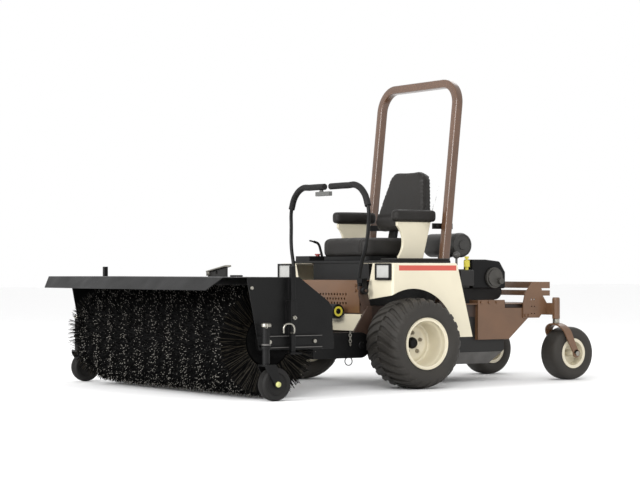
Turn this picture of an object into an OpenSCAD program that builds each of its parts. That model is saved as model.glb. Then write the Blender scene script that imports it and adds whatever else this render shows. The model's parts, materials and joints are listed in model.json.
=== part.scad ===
// Ride-on tractor with a rotary brush head carried on its front.
// Millimetres. Front is -Y, the machine's left is +X, up is +Z. The ground is z = 0.
// Every sub-part is drawn from a datum behind the drive axle (y = 0) and then moved by
// datum_y, so that the machine stands with the middle of its outline over the origin.

/* [Drive wheels] */
// Outer diameter of the drive tyres
drive_tyre_d = 520; // [505:1:524]
// Width of the drive tyres
drive_tyre_w = 300; // [285:1:304]
// Middle of a drive tyre from the machine's centre line
half_track = 605; // [598:1:620]
// Drive axle ahead of the datum
drive_ahead = 155; // [145:1:165]
// Diameter of the drive rims at the bead seat
drive_bead_d = 260; // [240:1:270]
// Diameter of the drive rims over their flanges
drive_flange_d = 298; // [285:1:310]
// Depth of the wheel disc behind the middle of the tyre
disc_inset = 15; // [10:1:25]
// Pitch circle of the wheel studs
stud_circle_d = 115; // [105:1:125]
// Diameter of the wheel studs
stud_d = 12; // [10:1:14]

/* [Tail casters] */
// Caster pivots behind the datum
tail_pivot_back = 1095; // [1070:1:1130]
// Caster pivots from the centre line
tail_pivot_x = 398; // [390:1:420]
// Wheel axle behind the pivot
tail_trail = 86; // [75:1:95]
// Outer diameter of the tail tyres
tail_tyre_d = 328; // [315:1:335]
// Width of the tail tyres
tail_tyre_w = 150; // [135:1:160]
// Diameter of the tail rims at the bead seat
tail_bead_d = 156; // [145:1:165]
// Diameter of the tail rims over their flanges
tail_flange_d = 186; // [176:1:196]
// Diameter of the tail pivot stems
tail_stem_d = 30; // [25:1:34]
// Thickness of the tail fork bars
tail_fork_t = 10; // [8:1:12]

/* [Frame] */
// Height of the underside of the frame rails
rail_z = 395; // [385:1:405]
// Height of the frame rails
rail_h = 75; // [70:1:80]
// Width of the frame rails
rail_w = 40; // [35:1:45]
// Middle of a frame rail from the centre line
rail_x = 285; // [280:1:290]
// Front of the frame ahead of the datum
frame_front = 330; // [325:1:340]
// Rear of the frame behind the datum
frame_rear = 950; // [945:1:970]
// Side of the square tube of the roll bar
rops_tube = 50; // [45:1:52]
// Wall of the roll bar tube
rops_wall = 5; // [3:0.5:6]
// Middle of a roll bar leg from the centre line
rops_x = 386; // [380:1:392]
// Height of the top of the roll bar
rops_top = 1830; // [1780:5:1900]
// Backward lean of the roll bar
rops_lean = 6.2; // [4:0.1:8]
// Outer radius of the roll bar bends
rops_bend = 160; // [120:1:200]

/* [Bodywork] */
// Height of the tops of the fenders
fender_top = 720; // [710:1:730]
// Outer face of a fender from the centre line
fender_x = 605; // [600:1:610]
// Thickness of the sheet of the fenders
fender_t = 5; // [3:0.5:6]
// Front face of the fenders ahead of the datum
fender_front = 303; // [300:1:305]
// Width of a headlamp over its bezel
lamp_w = 150; // [130:1:155]
// Height of a headlamp over its bezel
lamp_h = 96; // [85:1:110]
// Thickness of the seat platform's deck
deck_t = 15; // [10:1:18]
// Thickness of the front panel
panel_t = 5; // [3:0.5:6]
// Diameter of the holes of the front panel
vent_d = 16; // [10:1:20]
// Pitch of the holes of the front panel
vent_pitch = 30; // [26:1:32]

/* [Seat and controls] */
// Width of the seat cushion
seat_w = 510; // [460:1:520]
// Depth of the seat cushion
seat_d = 410; // [380:1:420]
// Thickness of the seat cushion
seat_h = 118; // [100:1:125]
// Height of the seat back
back_h = 460; // [430:5:470]
// Thickness of the seat back
back_t = 75; // [65:1:85]
// Lean of the seat back
back_lean = 12; // [8:0.5:14]
// Diameter of the steering lever tube
lever_d = 25; // [20:1:28]
// Diameter of the grips of the steering levers
grip_d = 38; // [32:1:42]
// Height of the steering lever pivots
lever_pivot_z = 560; // [550:1:565]
// Diameter of the steering lever pivot pins
lever_pin_d = 16; // [12:1:20]

/* [Engine] */
// Diameter of the air cleaner canister
cleaner_d = 145; // [130:1:150]
// Length of the air cleaner canister
cleaner_l = 340; // [300:5:360]
// Diameter of the muffler
muffler_d = 104; // [90:1:106]
// Diameter of the round cover on the blower housing
cover_d = 127; // [110:1:140]

/* [Brush head] */
// Brush axis ahead of the head's swing pin
brush_reach = 460; // [440:1:480]
// Diameter over the bristles
brush_d = 604; // [590:1:606]
// Height of the gap between the bristles and the ground
brush_clear = 2; // [1:0.5:10]
// Diameter of the brush core
core_d = 260; // [220:5:280]
// Left end of the bristles from the centre line
brush_left = 925; // [880:5:930]
// Right end of the bristles from the centre line
brush_right = 860; // [820:5:870]
// Rows of bristle tufts along the brush
tuft_rows = 22; // [18:1:25]
// Diameter of the brush shaft
shaft_d = 40; // [35:1:45]
// Inner face of an end plate from the centre line
end_plate_x = 1020; // [1010:1:1030]
// Thickness of the end plates
end_plate_t = 6; // [4:0.5:8]
// Height of the hood's flat top
hood_z = 642; // [636:1:650]
// Thickness of the hood sheet
hood_t = 4; // [3:0.5:5]
// Front edge of the hood's flat top ahead of the brush axis
hood_front = 338; // [325:1:350]
// Forward run of the lip
lip_run = 62; // [50:1:75]
// Drop of the lip
lip_drop = 66; // [55:1:75]

/* [Brush head carriage] */
// Caster pivots from the centre line
head_pivot_x = 1080; // [1078:1:1090]
// Caster pivots ahead of the brush axis
head_pivot_ahead = 112; // [105:1:118]
// Wheel axle behind the pivot
head_trail = 50; // [45:1:52]
// Diameter of the head's caster wheels
head_wheel_d = 176; // [165:1:180]
// Width of the head's caster wheels
head_wheel_w = 60; // [50:1:62]
// Diameter of the head's caster stems
head_stem_d = 25; // [20:1:28]
// Side of the square tube of the parking stands
stand_tube = 25; // [22:1:26]
// Length of the parking stands
stand_l = 460; // [430:5:470]
// Height of the foot of a raised parking stand
stand_foot_z = 240; // [232:1:246]
// Swing pin of the head ahead of the datum
king_ahead = 880; // [875:1:890]
// Diameter of the swing pin
king_d = 50; // [45:1:55]
// Lift pivot ahead of the datum
lift_ahead = 410; // [405:1:420]
// Height of the lift pivot
lift_z = 248; // [244:1:252]
// Diameter of the lift pivot pins
lift_pin_d = 30; // [25:1:34]

/* [Clearances] */
// Radial clearance of a shaft in its bore
run_fit = 0.05; // [0.02:0.01:0.1]
// Side clearance of turning pieces
side_gap = 0.5; // [0.4:0.1:0.8]
// Clearance between pieces that are pushed together
seat_fit = 0.05; // [0:0.01:0.1]
// Clearance under and beside soft pieces
soft_gap = 0.3; // [0.2:0.05:0.4]

/* [Hidden] */
$fn = 64;

// Colours
cream = [0.90, 0.87, 0.77];
brown = [0.36, 0.25, 0.20];
black = [0.13, 0.13, 0.13];
rubber = [0.22, 0.21, 0.20];
vinyl = [0.20, 0.19, 0.18];
grey = [0.35, 0.35, 0.34];
zinc = [0.75, 0.75, 0.73];
yellow = [0.85, 0.80, 0.25];

// Places that several pieces share
brush_ahead = king_ahead + brush_reach;
front_reach = brush_ahead + hood_front + lip_run;
rear_reach = tail_pivot_back + tail_trail + tail_tyre_d / 2;
datum_y = (front_reach - rear_reach) / 2;
drive_y = -drive_ahead;
axle_z = drive_tyre_d / 2;
rail_top = rail_z + rail_h;
cross_d = 30;
cross_half = 400;
deck_z = fender_top + deck_t;
brush_y = -brush_ahead;
brush_z = brush_d / 2 + brush_clear;

// Drive wheels, measured from the middle of the tyre outwards
drive_bead_half = 130;
rim_t = 6;
disc_r = 88;
hub_flange_t = 15;
hub_pilot_d = 60;
motor_shaft_d = 40;
motor_d = 130;
motor_plate_t = 12;
hub_inner = -disc_inset - rim_t - seat_fit - hub_flange_t;
motor_face_x = half_track + hub_inner - 2;

// Lift pivots: lugs on the frame, arms outside them
lug_t = 12;
lug_x = cross_half - lug_t;
lift_arm_w = 38;
lift_arm_h = 147;
lift_arm_x = cross_half + 2;
lift_beam_y = 140 - king_ahead;
lift_beam_d = 50;

// Steering lever pivots
ear_t = 12;
ear_x = 372;
lever_y = -355;
lever_hub_d = 44;
lever_hub_w = 26;
lever_hub_x = ear_x + ear_t + 3;

// Roll bar feet
rops_foot_z = 490;
rops_foot_y = 205;
outrigger_h = 35;

// Seat: box under the deck, slide rails on it
seat_box_x = 295;
seat_box_front = -250;
seat_box_rear = 175;
sheet_t = 4;
seat_rail_h = 17;
seat_rail_x = 150;
seat_z = deck_z + seat_rail_h + soft_gap;
seat_front = -248;
back_nest = 17.5;
back_foot_h = 75;

// Tail
tail_tube_d = 48;
tail_tube_z = 378;
tail_tube_top = 496;
tail_beam_z = 402;
tail_beam_h = 73;
tail_beam_d = 60;
tail_axle_d = 16;
tail_leg_x = tail_tyre_w / 2 + 10;
tail_crown_z = 340;

// Brush head
end_outer_x = end_plate_x + end_plate_t;
hood_rear = brush_y + 130;
slope_foot = [brush_y + 310, 517];
back_y = brush_y + 340;
back_foot = 350;
arm_d = 20;
arm_z = 274;
arm_h = 61;
head_pivot_y = brush_y - head_pivot_ahead;
head_axle_z = head_wheel_d / 2;
head_tube_d = 40;
head_tube_z = 285;
head_tube_h = 102;
stand_y = brush_y + 63;
stand_x = end_outer_x + arm_d + stand_tube / 2 + 1.5;
sleeve_fit = 0.4;
sleeve_wall = 5;
sleeve_z = 400;
sleeve_h = 120;
sleeve_out = stand_tube / 2 + sleeve_fit + sleeve_wall;
king_y = -king_ahead;
king_sleeve_d = 90;
king_sleeve_z = 300;
king_sleeve_h = 200;
beam_d = 60;
beam_z = 400;
beam_h = 60;
backing_t = 6;
motor_l = 115;
bearing_t = 14;

// A (y, z) outline extruded to the machine's left from x
module slab_x(x, t, points) {
    translate([x, 0, 0])
        rotate([90, 0, 90])
            linear_extrude(t)
                polygon(points);
}

// A round bar along X that starts at x
module bar_x(x, y, z, d, l) {
    translate([x, y, z])
        rotate([0, 90, 0])
            cylinder(d = d, h = l);
}

// A hexagon head or nut along X that starts at x
module hex_x(x, y, z, across, l) {
    translate([x, y, z])
        rotate([0, 90, 0])
            cylinder(d = across, h = l, $fn = 6);
}

// A box given by its low corner and its high corner
module box(low, high) {
    translate(low)
        cube(high - low);
}

// Drawn for the left, mirrored for the right
module sided(side) {
    if (side > 0) children();
    else mirror([1, 0, 0]) children();
}

module both() {
    children();
    mirror([1, 0, 0]) children();
}

// From the datum to the part's origin
module placed(colour) {
    color(colour)
        translate([0, datum_y, 0])
            children();
}

// A round tube along a list of points, with a ball a little larger than the tube at each bend
module tube_path(points, d) {
    ball_d = d + 1;
    for (i = [0 : len(points) - 2]) {
        step = points[i + 1] - points[i];
        length = norm(step);
        translate(points[i])
            rotate([0, acos(step.z / length), atan2(step.y, step.x)])
                cylinder(d = d, h = length);
        translate(points[i + 1])
            sphere(d = ball_d);
    }
}

// The closed outline of a sheet that follows a line of points, t thick on its right side
function unit(v) = v / norm(v);
function right_of(v) = [v.y, -v.x];
function sheet_offset(p, i) =
    let (before = unit(p[max(i, 1)] - p[max(i, 1) - 1]))
    let (after = unit(p[min(i, len(p) - 2) + 1] - p[min(i, len(p) - 2)]))
    let (mean = right_of(unit(before + after)))
    mean / (mean * right_of(before));
function sheet(p, t) = concat(
    p,
    [for (i = [len(p) - 1 : -1 : 0]) p[i] + t * sheet_offset(p, i)]
);

// Tractor frame: two channel rails, cross members, motor plates, lift lugs and lever ears
module main_frame() {
    web = 6;
    placed(brown) {
        both() {
            difference() {
                box([rail_x - rail_w / 2, -frame_front, rail_z],
                    [rail_x + rail_w / 2, frame_rear, rail_top]);
                box([rail_x - rail_w / 2 - 1, cross_d - frame_front, rail_z + web],
                    [rail_x + rail_w / 2 - web, frame_rear - cross_d, rail_top - web]);
            }
            box([rail_x + rail_w / 2 - motor_plate_t, drive_y - 90, axle_z - 85],
                [rail_x + rail_w / 2, drive_y + 90, rail_z + 10]);
            slab_x(lug_x, lug_t, [
                [cross_d - frame_front, rail_top],
                [cross_d - frame_front, rail_z - 40],
                [45 - lift_ahead, lift_z - 45],
                [-45 - lift_ahead, lift_z - 45],
                [-45 - lift_ahead, lift_z + 40],
                [-frame_front, rail_top],
            ]);
            bar_x(lug_x, -lift_ahead, lift_z, lift_pin_d, lift_arm_x + lift_arm_w - lug_x + 6);
            slab_x(ear_x, ear_t, [
                [cross_d - frame_front, rail_z],
                [-frame_front, rail_z],
                [lever_y - 25, lever_pivot_z - 30],
                [lever_y - 25, lever_pivot_z + 25],
                [lever_y + 25, lever_pivot_z + 25],
                [cross_d - frame_front, rail_top],
            ]);
            bar_x(ear_x, lever_y, lever_pivot_z, lever_pin_d,
                lever_hub_x + lever_hub_w + 6 - ear_x);
        }
        box([-cross_half, -frame_front, rail_z],
            [cross_half, cross_d - frame_front, rail_top]);
        box([-rops_x - rops_tube / 2, rops_foot_y - 26, rops_foot_z - outrigger_h],
            [rops_x + rops_tube / 2, rops_foot_y + 30, rops_foot_z]);
        box([-rail_x, frame_rear - cross_d, rail_z],
            [rail_x, frame_rear, rail_top]);
    }
}

// Brown engine bed: a flat plate on the rails with a hanging panel each side
module engine_deck() {
    panel_x = 325;
    placed(brown) {
        box([-panel_x - sheet_t, 260, rail_top], [panel_x + sheet_t, frame_rear, rail_top + 6]);
        both()
            slab_x(panel_x, sheet_t + 1, [
                [534, 256], [776, 256], [930, 385], [930, rail_z + 52], [744, rail_z + 52],
                [744, rail_top + 27], [534, rail_top + 27],
            ]);
    }
}

// Tail: axle beam with the caster tubes, two spine bars, side brackets and the guard bars
module tail_frame() {
    bracket_x = 330;
    spine_x = 40;
    spine_w = 40;
    bar_l = 1100;
    tail_y = tail_pivot_back;
    placed(brown) difference() {
        union() {
            box([-tail_pivot_x, tail_y - tail_beam_d / 2, tail_beam_z],
                [tail_pivot_x, tail_y + tail_beam_d / 2, tail_beam_z + tail_beam_h]);
            both() {
                box([spine_x, frame_rear, rail_z + 5],
                    [spine_x + spine_w, tail_y, rail_top - 5]);
                translate([tail_pivot_x, tail_y, tail_tube_z])
                    cylinder(d = tail_tube_d, h = tail_tube_top - tail_tube_z);
                translate([tail_pivot_x, tail_y, tail_tube_top])
                    intersection() {
                        sphere(d = tail_tube_d);
                        cylinder(d = tail_tube_d, h = 14);
                    }
                slab_x(bracket_x, 8, [
                    [882, 384], [1010, 384], [1030, tail_beam_z + 4], [tail_y, tail_beam_z + 4],
                    [tail_y, tail_beam_z + 40], [1040, 520], [1020, 606], [960, 606],
                    [900, 540], [882, 470],
                ]);
                box([bracket_x - 28, 960, 566], [bracket_x + 4, bar_l, 606]);
                box([bracket_x - 28, 960, 520], [bracket_x + 4, bar_l, 553]);
            }
            box([-bracket_x, bar_l - 32, 566], [bracket_x, bar_l, 606]);
            box([-bracket_x, bar_l - 32, 520], [bracket_x, bar_l, 553]);
        }
        both() {
            translate([tail_pivot_x, tail_y, tail_tube_z - 1])
                cylinder(d = tail_stem_d + 2 * run_fit, h = tail_tube_top - tail_tube_z + 1);
            for (row = [0 : 2])
                for (column = [0 : 1])
                    bar_x(bracket_x - 1, 950 + 22 * column, 410 + 44 * row, 10, 10);
        }
    }
}

// Open tray under the engine with a floor that ramps up at the rear, hung from the rails
module belly_pan() {
    half = rail_x + 15;
    front = 300;
    rear = 760;
    pan_z = 111;
    ramp_y = 637;
    ramp_z = 190;
    placed(grey) difference() {
        slab_x(-half, 2 * half, [
            [front, rail_z], [front, pan_z], [ramp_y, pan_z], [rear, ramp_z], [rear, rail_z],
        ]);
        slab_x(-half + sheet_t, 2 * (half - sheet_t), [
            [front + sheet_t, rail_z + 1], [front + sheet_t, pan_z + sheet_t],
            [ramp_y - sheet_t / 2, pan_z + sheet_t],
            [rear - sheet_t, ramp_z + sheet_t / 2], [rear - sheet_t, rail_z + 1],
        ]);
    }
}

// Perforated panel in front of the seat box, folded back at the top
module front_panel() {
    half = 318;
    low = 430;
    high = 620;
    columns = 13;
    placed(brown) difference() {
        union() {
            box([-half, -frame_front - panel_t, low], [half, -frame_front, high]);
            box([-half, -frame_front - panel_t, high - panel_t], [half, seat_box_front - 2, high]);
        }
        for (row = [0 : 2])
            for (column = [0 : columns - 1 - row % 2])
                translate([vent_pitch * (column + (row % 2) / 2 - (columns - 1) / 2),
                    1 - frame_front, rail_top + 14 + 0.87 * vent_pitch * row])
                    rotate([90, 0, 0])
                        cylinder(d = vent_d, h = panel_t + 2, $fn = 24);
    }
}

// Cream cover below the front panel, folded back onto the front cross member
module lower_cover() {
    half = 366;
    placed(cream) {
        box([-half, -frame_front - 30, 325], [half, -frame_front - 30 + sheet_t, 422]);
        box([-half, -frame_front - 30, 422 - sheet_t], [half, -frame_front, 422]);
    }
}

// Spin-on filter on its head, which is bolted to the front panel
module hydraulic_filter() {
    can_d = 87;
    can_y = -frame_front - panel_t - 70;
    can_z = 438;
    placed(black) {
        bar_x(100, can_y, can_z, can_d, 105);
        bar_x(204, can_y, can_z, can_d - 22, 4);
        box([40, can_y - 25, can_z - 12], [102, -frame_front - panel_t, can_z + 32]);
    }
}

// Fender: outer side with its wheel arch, top and lamp face, in one sheet
module fender(side) {
    rear_top = 161;
    rear_foot = 276;
    foot_z = 288;
    arch_room = 52;
    placed(cream) sided(side) {
        difference() {
            slab_x(fender_x - fender_t, fender_t, [
                [-fender_front, fender_top], [rear_top, fender_top], [rear_foot, foot_z],
                [-fender_front, foot_z],
            ]);
            bar_x(fender_x - fender_t - 1, drive_y, axle_z, drive_tyre_d + 2 * arch_room,
                fender_t + 2);
        }
        box([seat_box_x + 10, -fender_front, fender_top - fender_t],
            [fender_x, rear_top, fender_top]);
        translate([0, fender_t - fender_front, 0])
            rotate([90, 0, 0])
                linear_extrude(fender_t)
                    polygon([
                        [410, fender_top], [fender_x, fender_top], [fender_x, 536], [342, 506],
                    ]);
    }
}

// Headlamp frames on the faces of the fenders
lamp_x = fender_x - 7 - lamp_w;
lamp_top = fender_top - 2;
bezel_w = 8;
bezel_d = 12;

module lamp_bezels() {
    placed(black) both() difference() {
        box([lamp_x, -fender_front - bezel_d, lamp_top - lamp_h],
            [lamp_x + lamp_w, -fender_front, lamp_top]);
        box([lamp_x + bezel_w, -fender_front - bezel_d - 1, lamp_top - lamp_h + bezel_w],
            [lamp_x + lamp_w - bezel_w, -fender_front + 1, lamp_top - bezel_w]);
    }
}

module lamp_lenses() {
    edge = bezel_w + seat_fit;
    placed([0.92, 0.93, 0.92]) both()
        box([lamp_x + edge, -fender_front - bezel_d + 4, lamp_top - lamp_h + edge],
            [lamp_x + lamp_w - edge, -fender_front, lamp_top - edge]);
}

// Roll bar: one bent square tube that stands on the frame's outriggers
module rops() {
    bend = rops_bend - rops_tube / 2;
    leg_h = (rops_top - rops_foot_z) / cos(rops_lean);
    placed(brown) intersection() {
        translate([0, rops_foot_y, rops_foot_z])
            rotate([-rops_lean, 0, 0]) {
                both() {
                    translate([rops_x, 0, -20])
                        linear_extrude(leg_h - rops_bend + 20) square_tube();
                    translate([rops_x - bend, 0, leg_h - rops_bend])
                        rotate([90, 0, 0])
                            rotate_extrude(angle = 90)
                                translate([bend, 0]) square_tube();
                }
                translate([bend - rops_x, 0, leg_h - rops_tube / 2])
                    rotate([0, 90, 0])
                        linear_extrude(2 * (rops_x - bend)) square_tube();
            }
        box([-rops_x - rops_tube, -rops_tube, rops_foot_z],
            [rops_x + rops_tube, 2 * rops_foot_y + 3 * rops_tube, rops_top + rops_tube]);
    }
}

module square_tube() {
    difference() {
        square(rops_tube, center = true);
        square(rops_tube - 2 * rops_wall, center = true);
    }
}

// Seat platform: box on the rails, deck over the fenders and the two seat slide rails
module seat_platform() {
    deck_half = 500;
    placed(black) {
        difference() {
            box([-seat_box_x, seat_box_front, rail_top], [seat_box_x, seat_box_rear, fender_top]);
            box([-seat_box_x + sheet_t, seat_box_front + sheet_t, rail_top - 1],
                [seat_box_x - sheet_t, seat_box_rear - sheet_t, fender_top + 1]);
        }
        box([-deck_half, seat_box_front - 5, fender_top], [deck_half, 195, deck_z]);
        both()
            box([seat_rail_x - 15, -200, deck_z], [seat_rail_x + 15, 190, deck_z + seat_rail_h]);
    }
}

// Armrest supports stand on the deck, outside the seat
arm_x = 310;
arm_t = 20;
arm_top = 965;

module armrest_supports() {
    placed(cream) both() difference() {
        slab_x(arm_x - arm_t / 2, arm_t, [
            [-50, deck_z], [125, deck_z], [185, arm_top], [-62, arm_top], [-62, arm_top - 60],
        ]);
        bar_x(arm_x - arm_t, -150, deck_z + 110, 260, 2 * arm_t);
    }
}

// Closed cushion: rounded plan, drawn-in side seam, crowned top, narrower towards one end.
// The outline is a superellipse; steps gives each ring's inset, height and plan size.
taper_from = 0.35;

function ring_points(w, d, inset, h, size, taper, count) = [
    for (i = [0 : count - 1])
        let (a = 360 * i / count)
        let (x = sign(cos(a)) * pow(abs(cos(a)), 0.36) * (w / 2 - inset) * size)
        let (y = sign(sin(a)) * pow(abs(sin(a)), 0.36) * (d / 2 - inset) * size)
        [x * (1 - taper * max(0, y / d + 0.5 - taper_from) / (1 - taper_from)), y + d / 2, h]
];

module cushion(w, d, h, crown, taper, count) {
    steps = [
        [14, 0, 1], [3, 0.10 * h, 1], [0, 0.38 * h, 1], [6, 0.46 * h, 1], [0, 0.54 * h, 1],
        [2, 0.80 * h, 1], [14, 0.97 * h - crown, 1], [16, h - 0.75 * crown, 0.86],
        [16, h - 0.85 * crown, 0.78], [16, h - 0.30 * crown, 0.66], [16, h - 0.05 * crown, 0.3],
    ];
    last = len(steps);
    points = concat(
        [for (s = steps) each ring_points(w, d, s[0], s[1], s[2], taper, count)],
        [[0, d / 2, 0], [0, d / 2, h]]
    );
    sides = [
        for (k = [0 : last - 2])
            for (i = [0 : count - 1])
                let (a = k * count + i)
                let (b = k * count + (i + 1) % count)
                each [[a, a + count, b + count], [a, b + count, b]]
    ];
    ends = [
        for (i = [0 : count - 1])
            let (j = (i + 1) % count)
            let (top = (last - 1) * count)
            each [[last * count, i, j], [last * count + 1, top + j, top + i]]
    ];
    polyhedron(points, concat(sides, ends));
}

module armrest_pads() {
    pad_l = 310;
    placed(vinyl) both()
        translate([arm_x, -90, arm_top])
            cushion(70, pad_l, 72, 8, 0, 16);
}

module seat_cushion() {
    placed(vinyl)
        translate([0, seat_front, seat_z])
            cushion(seat_w, seat_d, seat_h, 22, 0, 32);
}

// The seat back leans on the rear of the cushion
module seat_back() {
    foot_y = seat_front + seat_d - back_nest;
    placed(vinyl)
        translate([0, foot_y + back_t, seat_z + back_foot_h])
            rotate([90 - back_lean, 0, 0])
                cushion(seat_w + 5, back_h, back_t, 16, 0.36, 32);
}

// Control console on the right of the deck
console_x = -422;
console_top = deck_z + 30;
console_lever_y = -98;
console_lever_z = deck_z + 18;
lever_hand = [console_x, console_lever_y - 84, deck_z + 122];
button_x = -375;
button_y = -165;
button_d = 26;

module console() {
    placed(black) difference() {
        box([-500, -245, deck_z], [-345, 80, console_top]);
        box([console_x - 12, console_lever_y - 45, deck_z + 5],
            [console_x + 12, console_lever_y + 45, console_top + 1]);
        translate([button_x, button_y, deck_z + 6])
            cylinder(d = button_d + 1, h = 80);
    }
    placed(black)
        bar_x(console_x - 13, console_lever_y, console_lever_z, 8, 26);
}

module console_lever() {
    placed(black) difference() {
        union() {
            bar_x(console_x - 9, console_lever_y, console_lever_z, 18, 18);
            tube_path([
                [console_x, console_lever_y, console_lever_z],
                [console_x, console_lever_y - 32, deck_z + 111],
                lever_hand,
            ], 9);
            translate(lever_hand)
                sphere(d = 18);
        }
        bar_x(console_x - 13, console_lever_y, console_lever_z, 8 + 2 * run_fit, 26);
    }
}

// Red push button of the brush drive clutch
module pto_button() {
    placed([0.75, 0.10, 0.10]) {
        translate([button_x, button_y, deck_z + 13])
            cylinder(d = button_d, h = console_top - deck_z - 13 + 6.2);
        translate([button_x, button_y, console_top + 6])
            cylinder(d = button_d + 10, h = 8);
    }
}

// Engine: crankcase across the bed with a cylinder head to each side
block_top = 640;
block_half = 160;
head_end_x = 262;
bed_z = rail_top + 6;

module engine_block() {
    placed(grey) {
        box([-block_half, 470, bed_z], [block_half, 800, block_top]);
        both()
            for (fin = [0 : 5])
                box([block_half - 10 + 14 * fin, 398, 560], [block_half - 2 + 14 * fin, 505, 684]);
        both()
            box([block_half - 10, 412, 572], [head_end_x, 520, 672]);
    }
}

// Blower housing and the middle of the round cover on it
shroud_x = 255;
shroud_low = 566;
shroud_top = 744;
shroud_front = 552;
shroud_rear = 811;
cover_y = 714;
cover_z = 632;

// Blower housing beside the crankcase, with its upper rear corner cut off
module engine_shroud() {
    shoulder = 11;
    placed(black)
        slab_x(block_half, shroud_x - block_half, [
            [shroud_front, shroud_low], [shroud_rear, shroud_low], [shroud_rear, shroud_top - 77],
            [shroud_rear - 44, shroud_top - shoulder], [shroud_rear - 154, shroud_top],
            [shroud_front, shroud_top],
        ]);
}

module round_cover() {
    placed(grey) {
        bar_x(shroud_x, cover_y, cover_z, cover_d, 14);
        bar_x(shroud_x, cover_y, cover_z, cover_d - 24, 22);
        bar_x(shroud_x, cover_y + 32, cover_z - 20, 38, 44);
    }
}

// Air cleaner: canister across the machine on its intake neck
module air_cleaner() {
    cleaner_y = 526;
    cleaner_z = 832;
    placed(black) {
        bar_x(200 - cleaner_l, cleaner_y, cleaner_z, cleaner_d, cleaner_l);
        bar_x(40, cleaner_y, cleaner_z, cleaner_d + 8, 16);
        box([-30, cleaner_y - 25, block_top], [30, cleaner_y + 25, cleaner_z]);
    }
}

module valve_covers() {
    placed(grey) both()
        box([head_end_x, 405, 582], [head_end_x + 66, 508, 680]);
}

// Yellow oil filler cap with its pull
module oil_cap() {
    placed(yellow)
        translate([head_end_x + 40, 470, 680]) {
            cylinder(d = 22, h = 19);
            translate([0, 0, 18]) cylinder(d = 36, h = 40);
            translate([0, 0, 57]) cylinder(d = 14, h = 12);
            translate([0, 0, 68]) cylinder(d = 26, h = 14);
        }
}

module muffler() {
    muffler_y = 885;
    muffler_z = bed_z + 70;
    placed(zinc) {
        bar_x(-180, muffler_y, muffler_z, muffler_d, 360);
        for (x = [-120, 90])
            box([x, muffler_y - 15, bed_z], [x + 30, muffler_y + 15, muffler_z]);
        box([-60, 800, bed_z + 40], [-20, muffler_y, bed_z + 80]);
    }
}

// Wheel motors on the frame's side plates, each with its drive shaft
module wheel_motors() {
    shaft_end = half_track - disc_inset + 12;
    placed(grey) both() {
        bar_x(rail_x + rail_w / 2, drive_y, axle_z, motor_d,
            motor_face_x - rail_x - rail_w / 2);
        bar_x(motor_face_x - 5, drive_y, axle_z, motor_shaft_d, shaft_end - motor_face_x + 5);
    }
}

// Bolt heads that hold the bodywork to the frame
module frame_bolts() {
    placed(zinc) both() {
        for (y = [900, 925])
            hex_x(338, y, 400, 18, 8);
        for (z = [560, 590])
            translate([280, -frame_front - panel_t, z])
                rotate([90, 0, 0])
                    cylinder(d = 20, h = 7, $fn = 6);
        for (y = [560, 620, 680])
            hex_x(330, y, rail_top + 12, 18, 7);
    }
}

// Drive wheel hub with its five wheel bolts, on the motor shaft
module drive_hub(side) {
    placed(black) sided(side)
        translate([half_track, drive_y, axle_z])
            difference() {
                union() {
                    bar_x(hub_inner, 0, 0, 150, hub_flange_t);
                    bar_x(hub_inner, 0, 0, hub_pilot_d, 45);
                    for (i = [0 : 4])
                        rotate([72 * i, 0, 0]) {
                            bar_x(hub_inner, 0, stud_circle_d / 2, stud_d, 45);
                            hex_x(seat_fit - disc_inset, 0, stud_circle_d / 2, 22, 11);
                        }
                }
                bar_x(hub_inner - 1, 0, 0, motor_shaft_d + 2 * run_fit, 38);
            }
}

// Rim: barrel with two flanges and a deep dished disc
module drive_rim(side) {
    bead_r = drive_bead_d / 2;
    flange_r = drive_flange_d / 2;
    b = drive_bead_half;
    face = -disc_inset;
    placed(cream) sided(side)
        translate([half_track, drive_y, axle_z])
            difference() {
                rotate([0, 90, 0]) rotate_extrude() polygon([
                    [hub_pilot_d / 2 + 1, face - rim_t], [disc_r, face - rim_t],
                    [bead_r - rim_t, face + 20], [bead_r - rim_t, -b - rim_t],
                    [flange_r, -b - rim_t], [flange_r, -b], [bead_r, -b], [bead_r, b],
                    [flange_r, b], [flange_r, b + rim_t], [bead_r - rim_t, b + rim_t],
                    [bead_r - rim_t, face + 32], [disc_r, face], [hub_pilot_d / 2 + 1, face],
                ]);
                for (i = [0 : 4])
                    rotate([72 * i, 0, 0])
                        bar_x(face - rim_t - 1, 0, stud_circle_d / 2, stud_d + 2, rim_t + 2);
            }
}

// Tyre: hollow carcass with a rounded tread, between the rim's flanges
module tyre(d, w, bead_d, bead_half, wall) {
    r = d / 2;
    bead_r = bead_d / 2 + seat_fit;
    deep = r - bead_r;
    b = bead_half - seat_fit;
    h = w / 2;
    half = [
        [bead_r, b], [bead_r + 0.20 * deep, b], [bead_r + 0.34 * deep, h],
        [bead_r + 0.62 * deep, h], [bead_r + 0.85 * deep, 0.86 * h],
        [bead_r + 0.95 * deep, 0.66 * h], [r, 0.42 * h],
    ];
    inner = [
        [r - wall, 0.40 * h], [r - 0.10 * deep - 1.35 * wall, 0.74 * h],
        [bead_r + 0.58 * deep, h - wall], [bead_r + 0.36 * deep, h - wall],
        [bead_r + 0.20 * deep, b - wall], [bead_r, b - wall],
    ];
    rotate([0, 90, 0]) rotate_extrude() polygon(concat(
        half,
        [for (i = [len(half) - 1 : -1 : 0]) [half[i].x, -half[i].y]],
        [for (i = [len(inner) - 1 : -1 : 0]) [inner[i].x, -inner[i].y]],
        inner
    ));
}

module drive_tyre(side) {
    placed(rubber) sided(side)
        translate([half_track, drive_y, axle_z])
            tyre(drive_tyre_d, drive_tyre_w, drive_bead_d, drive_bead_half, 14);
}

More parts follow.
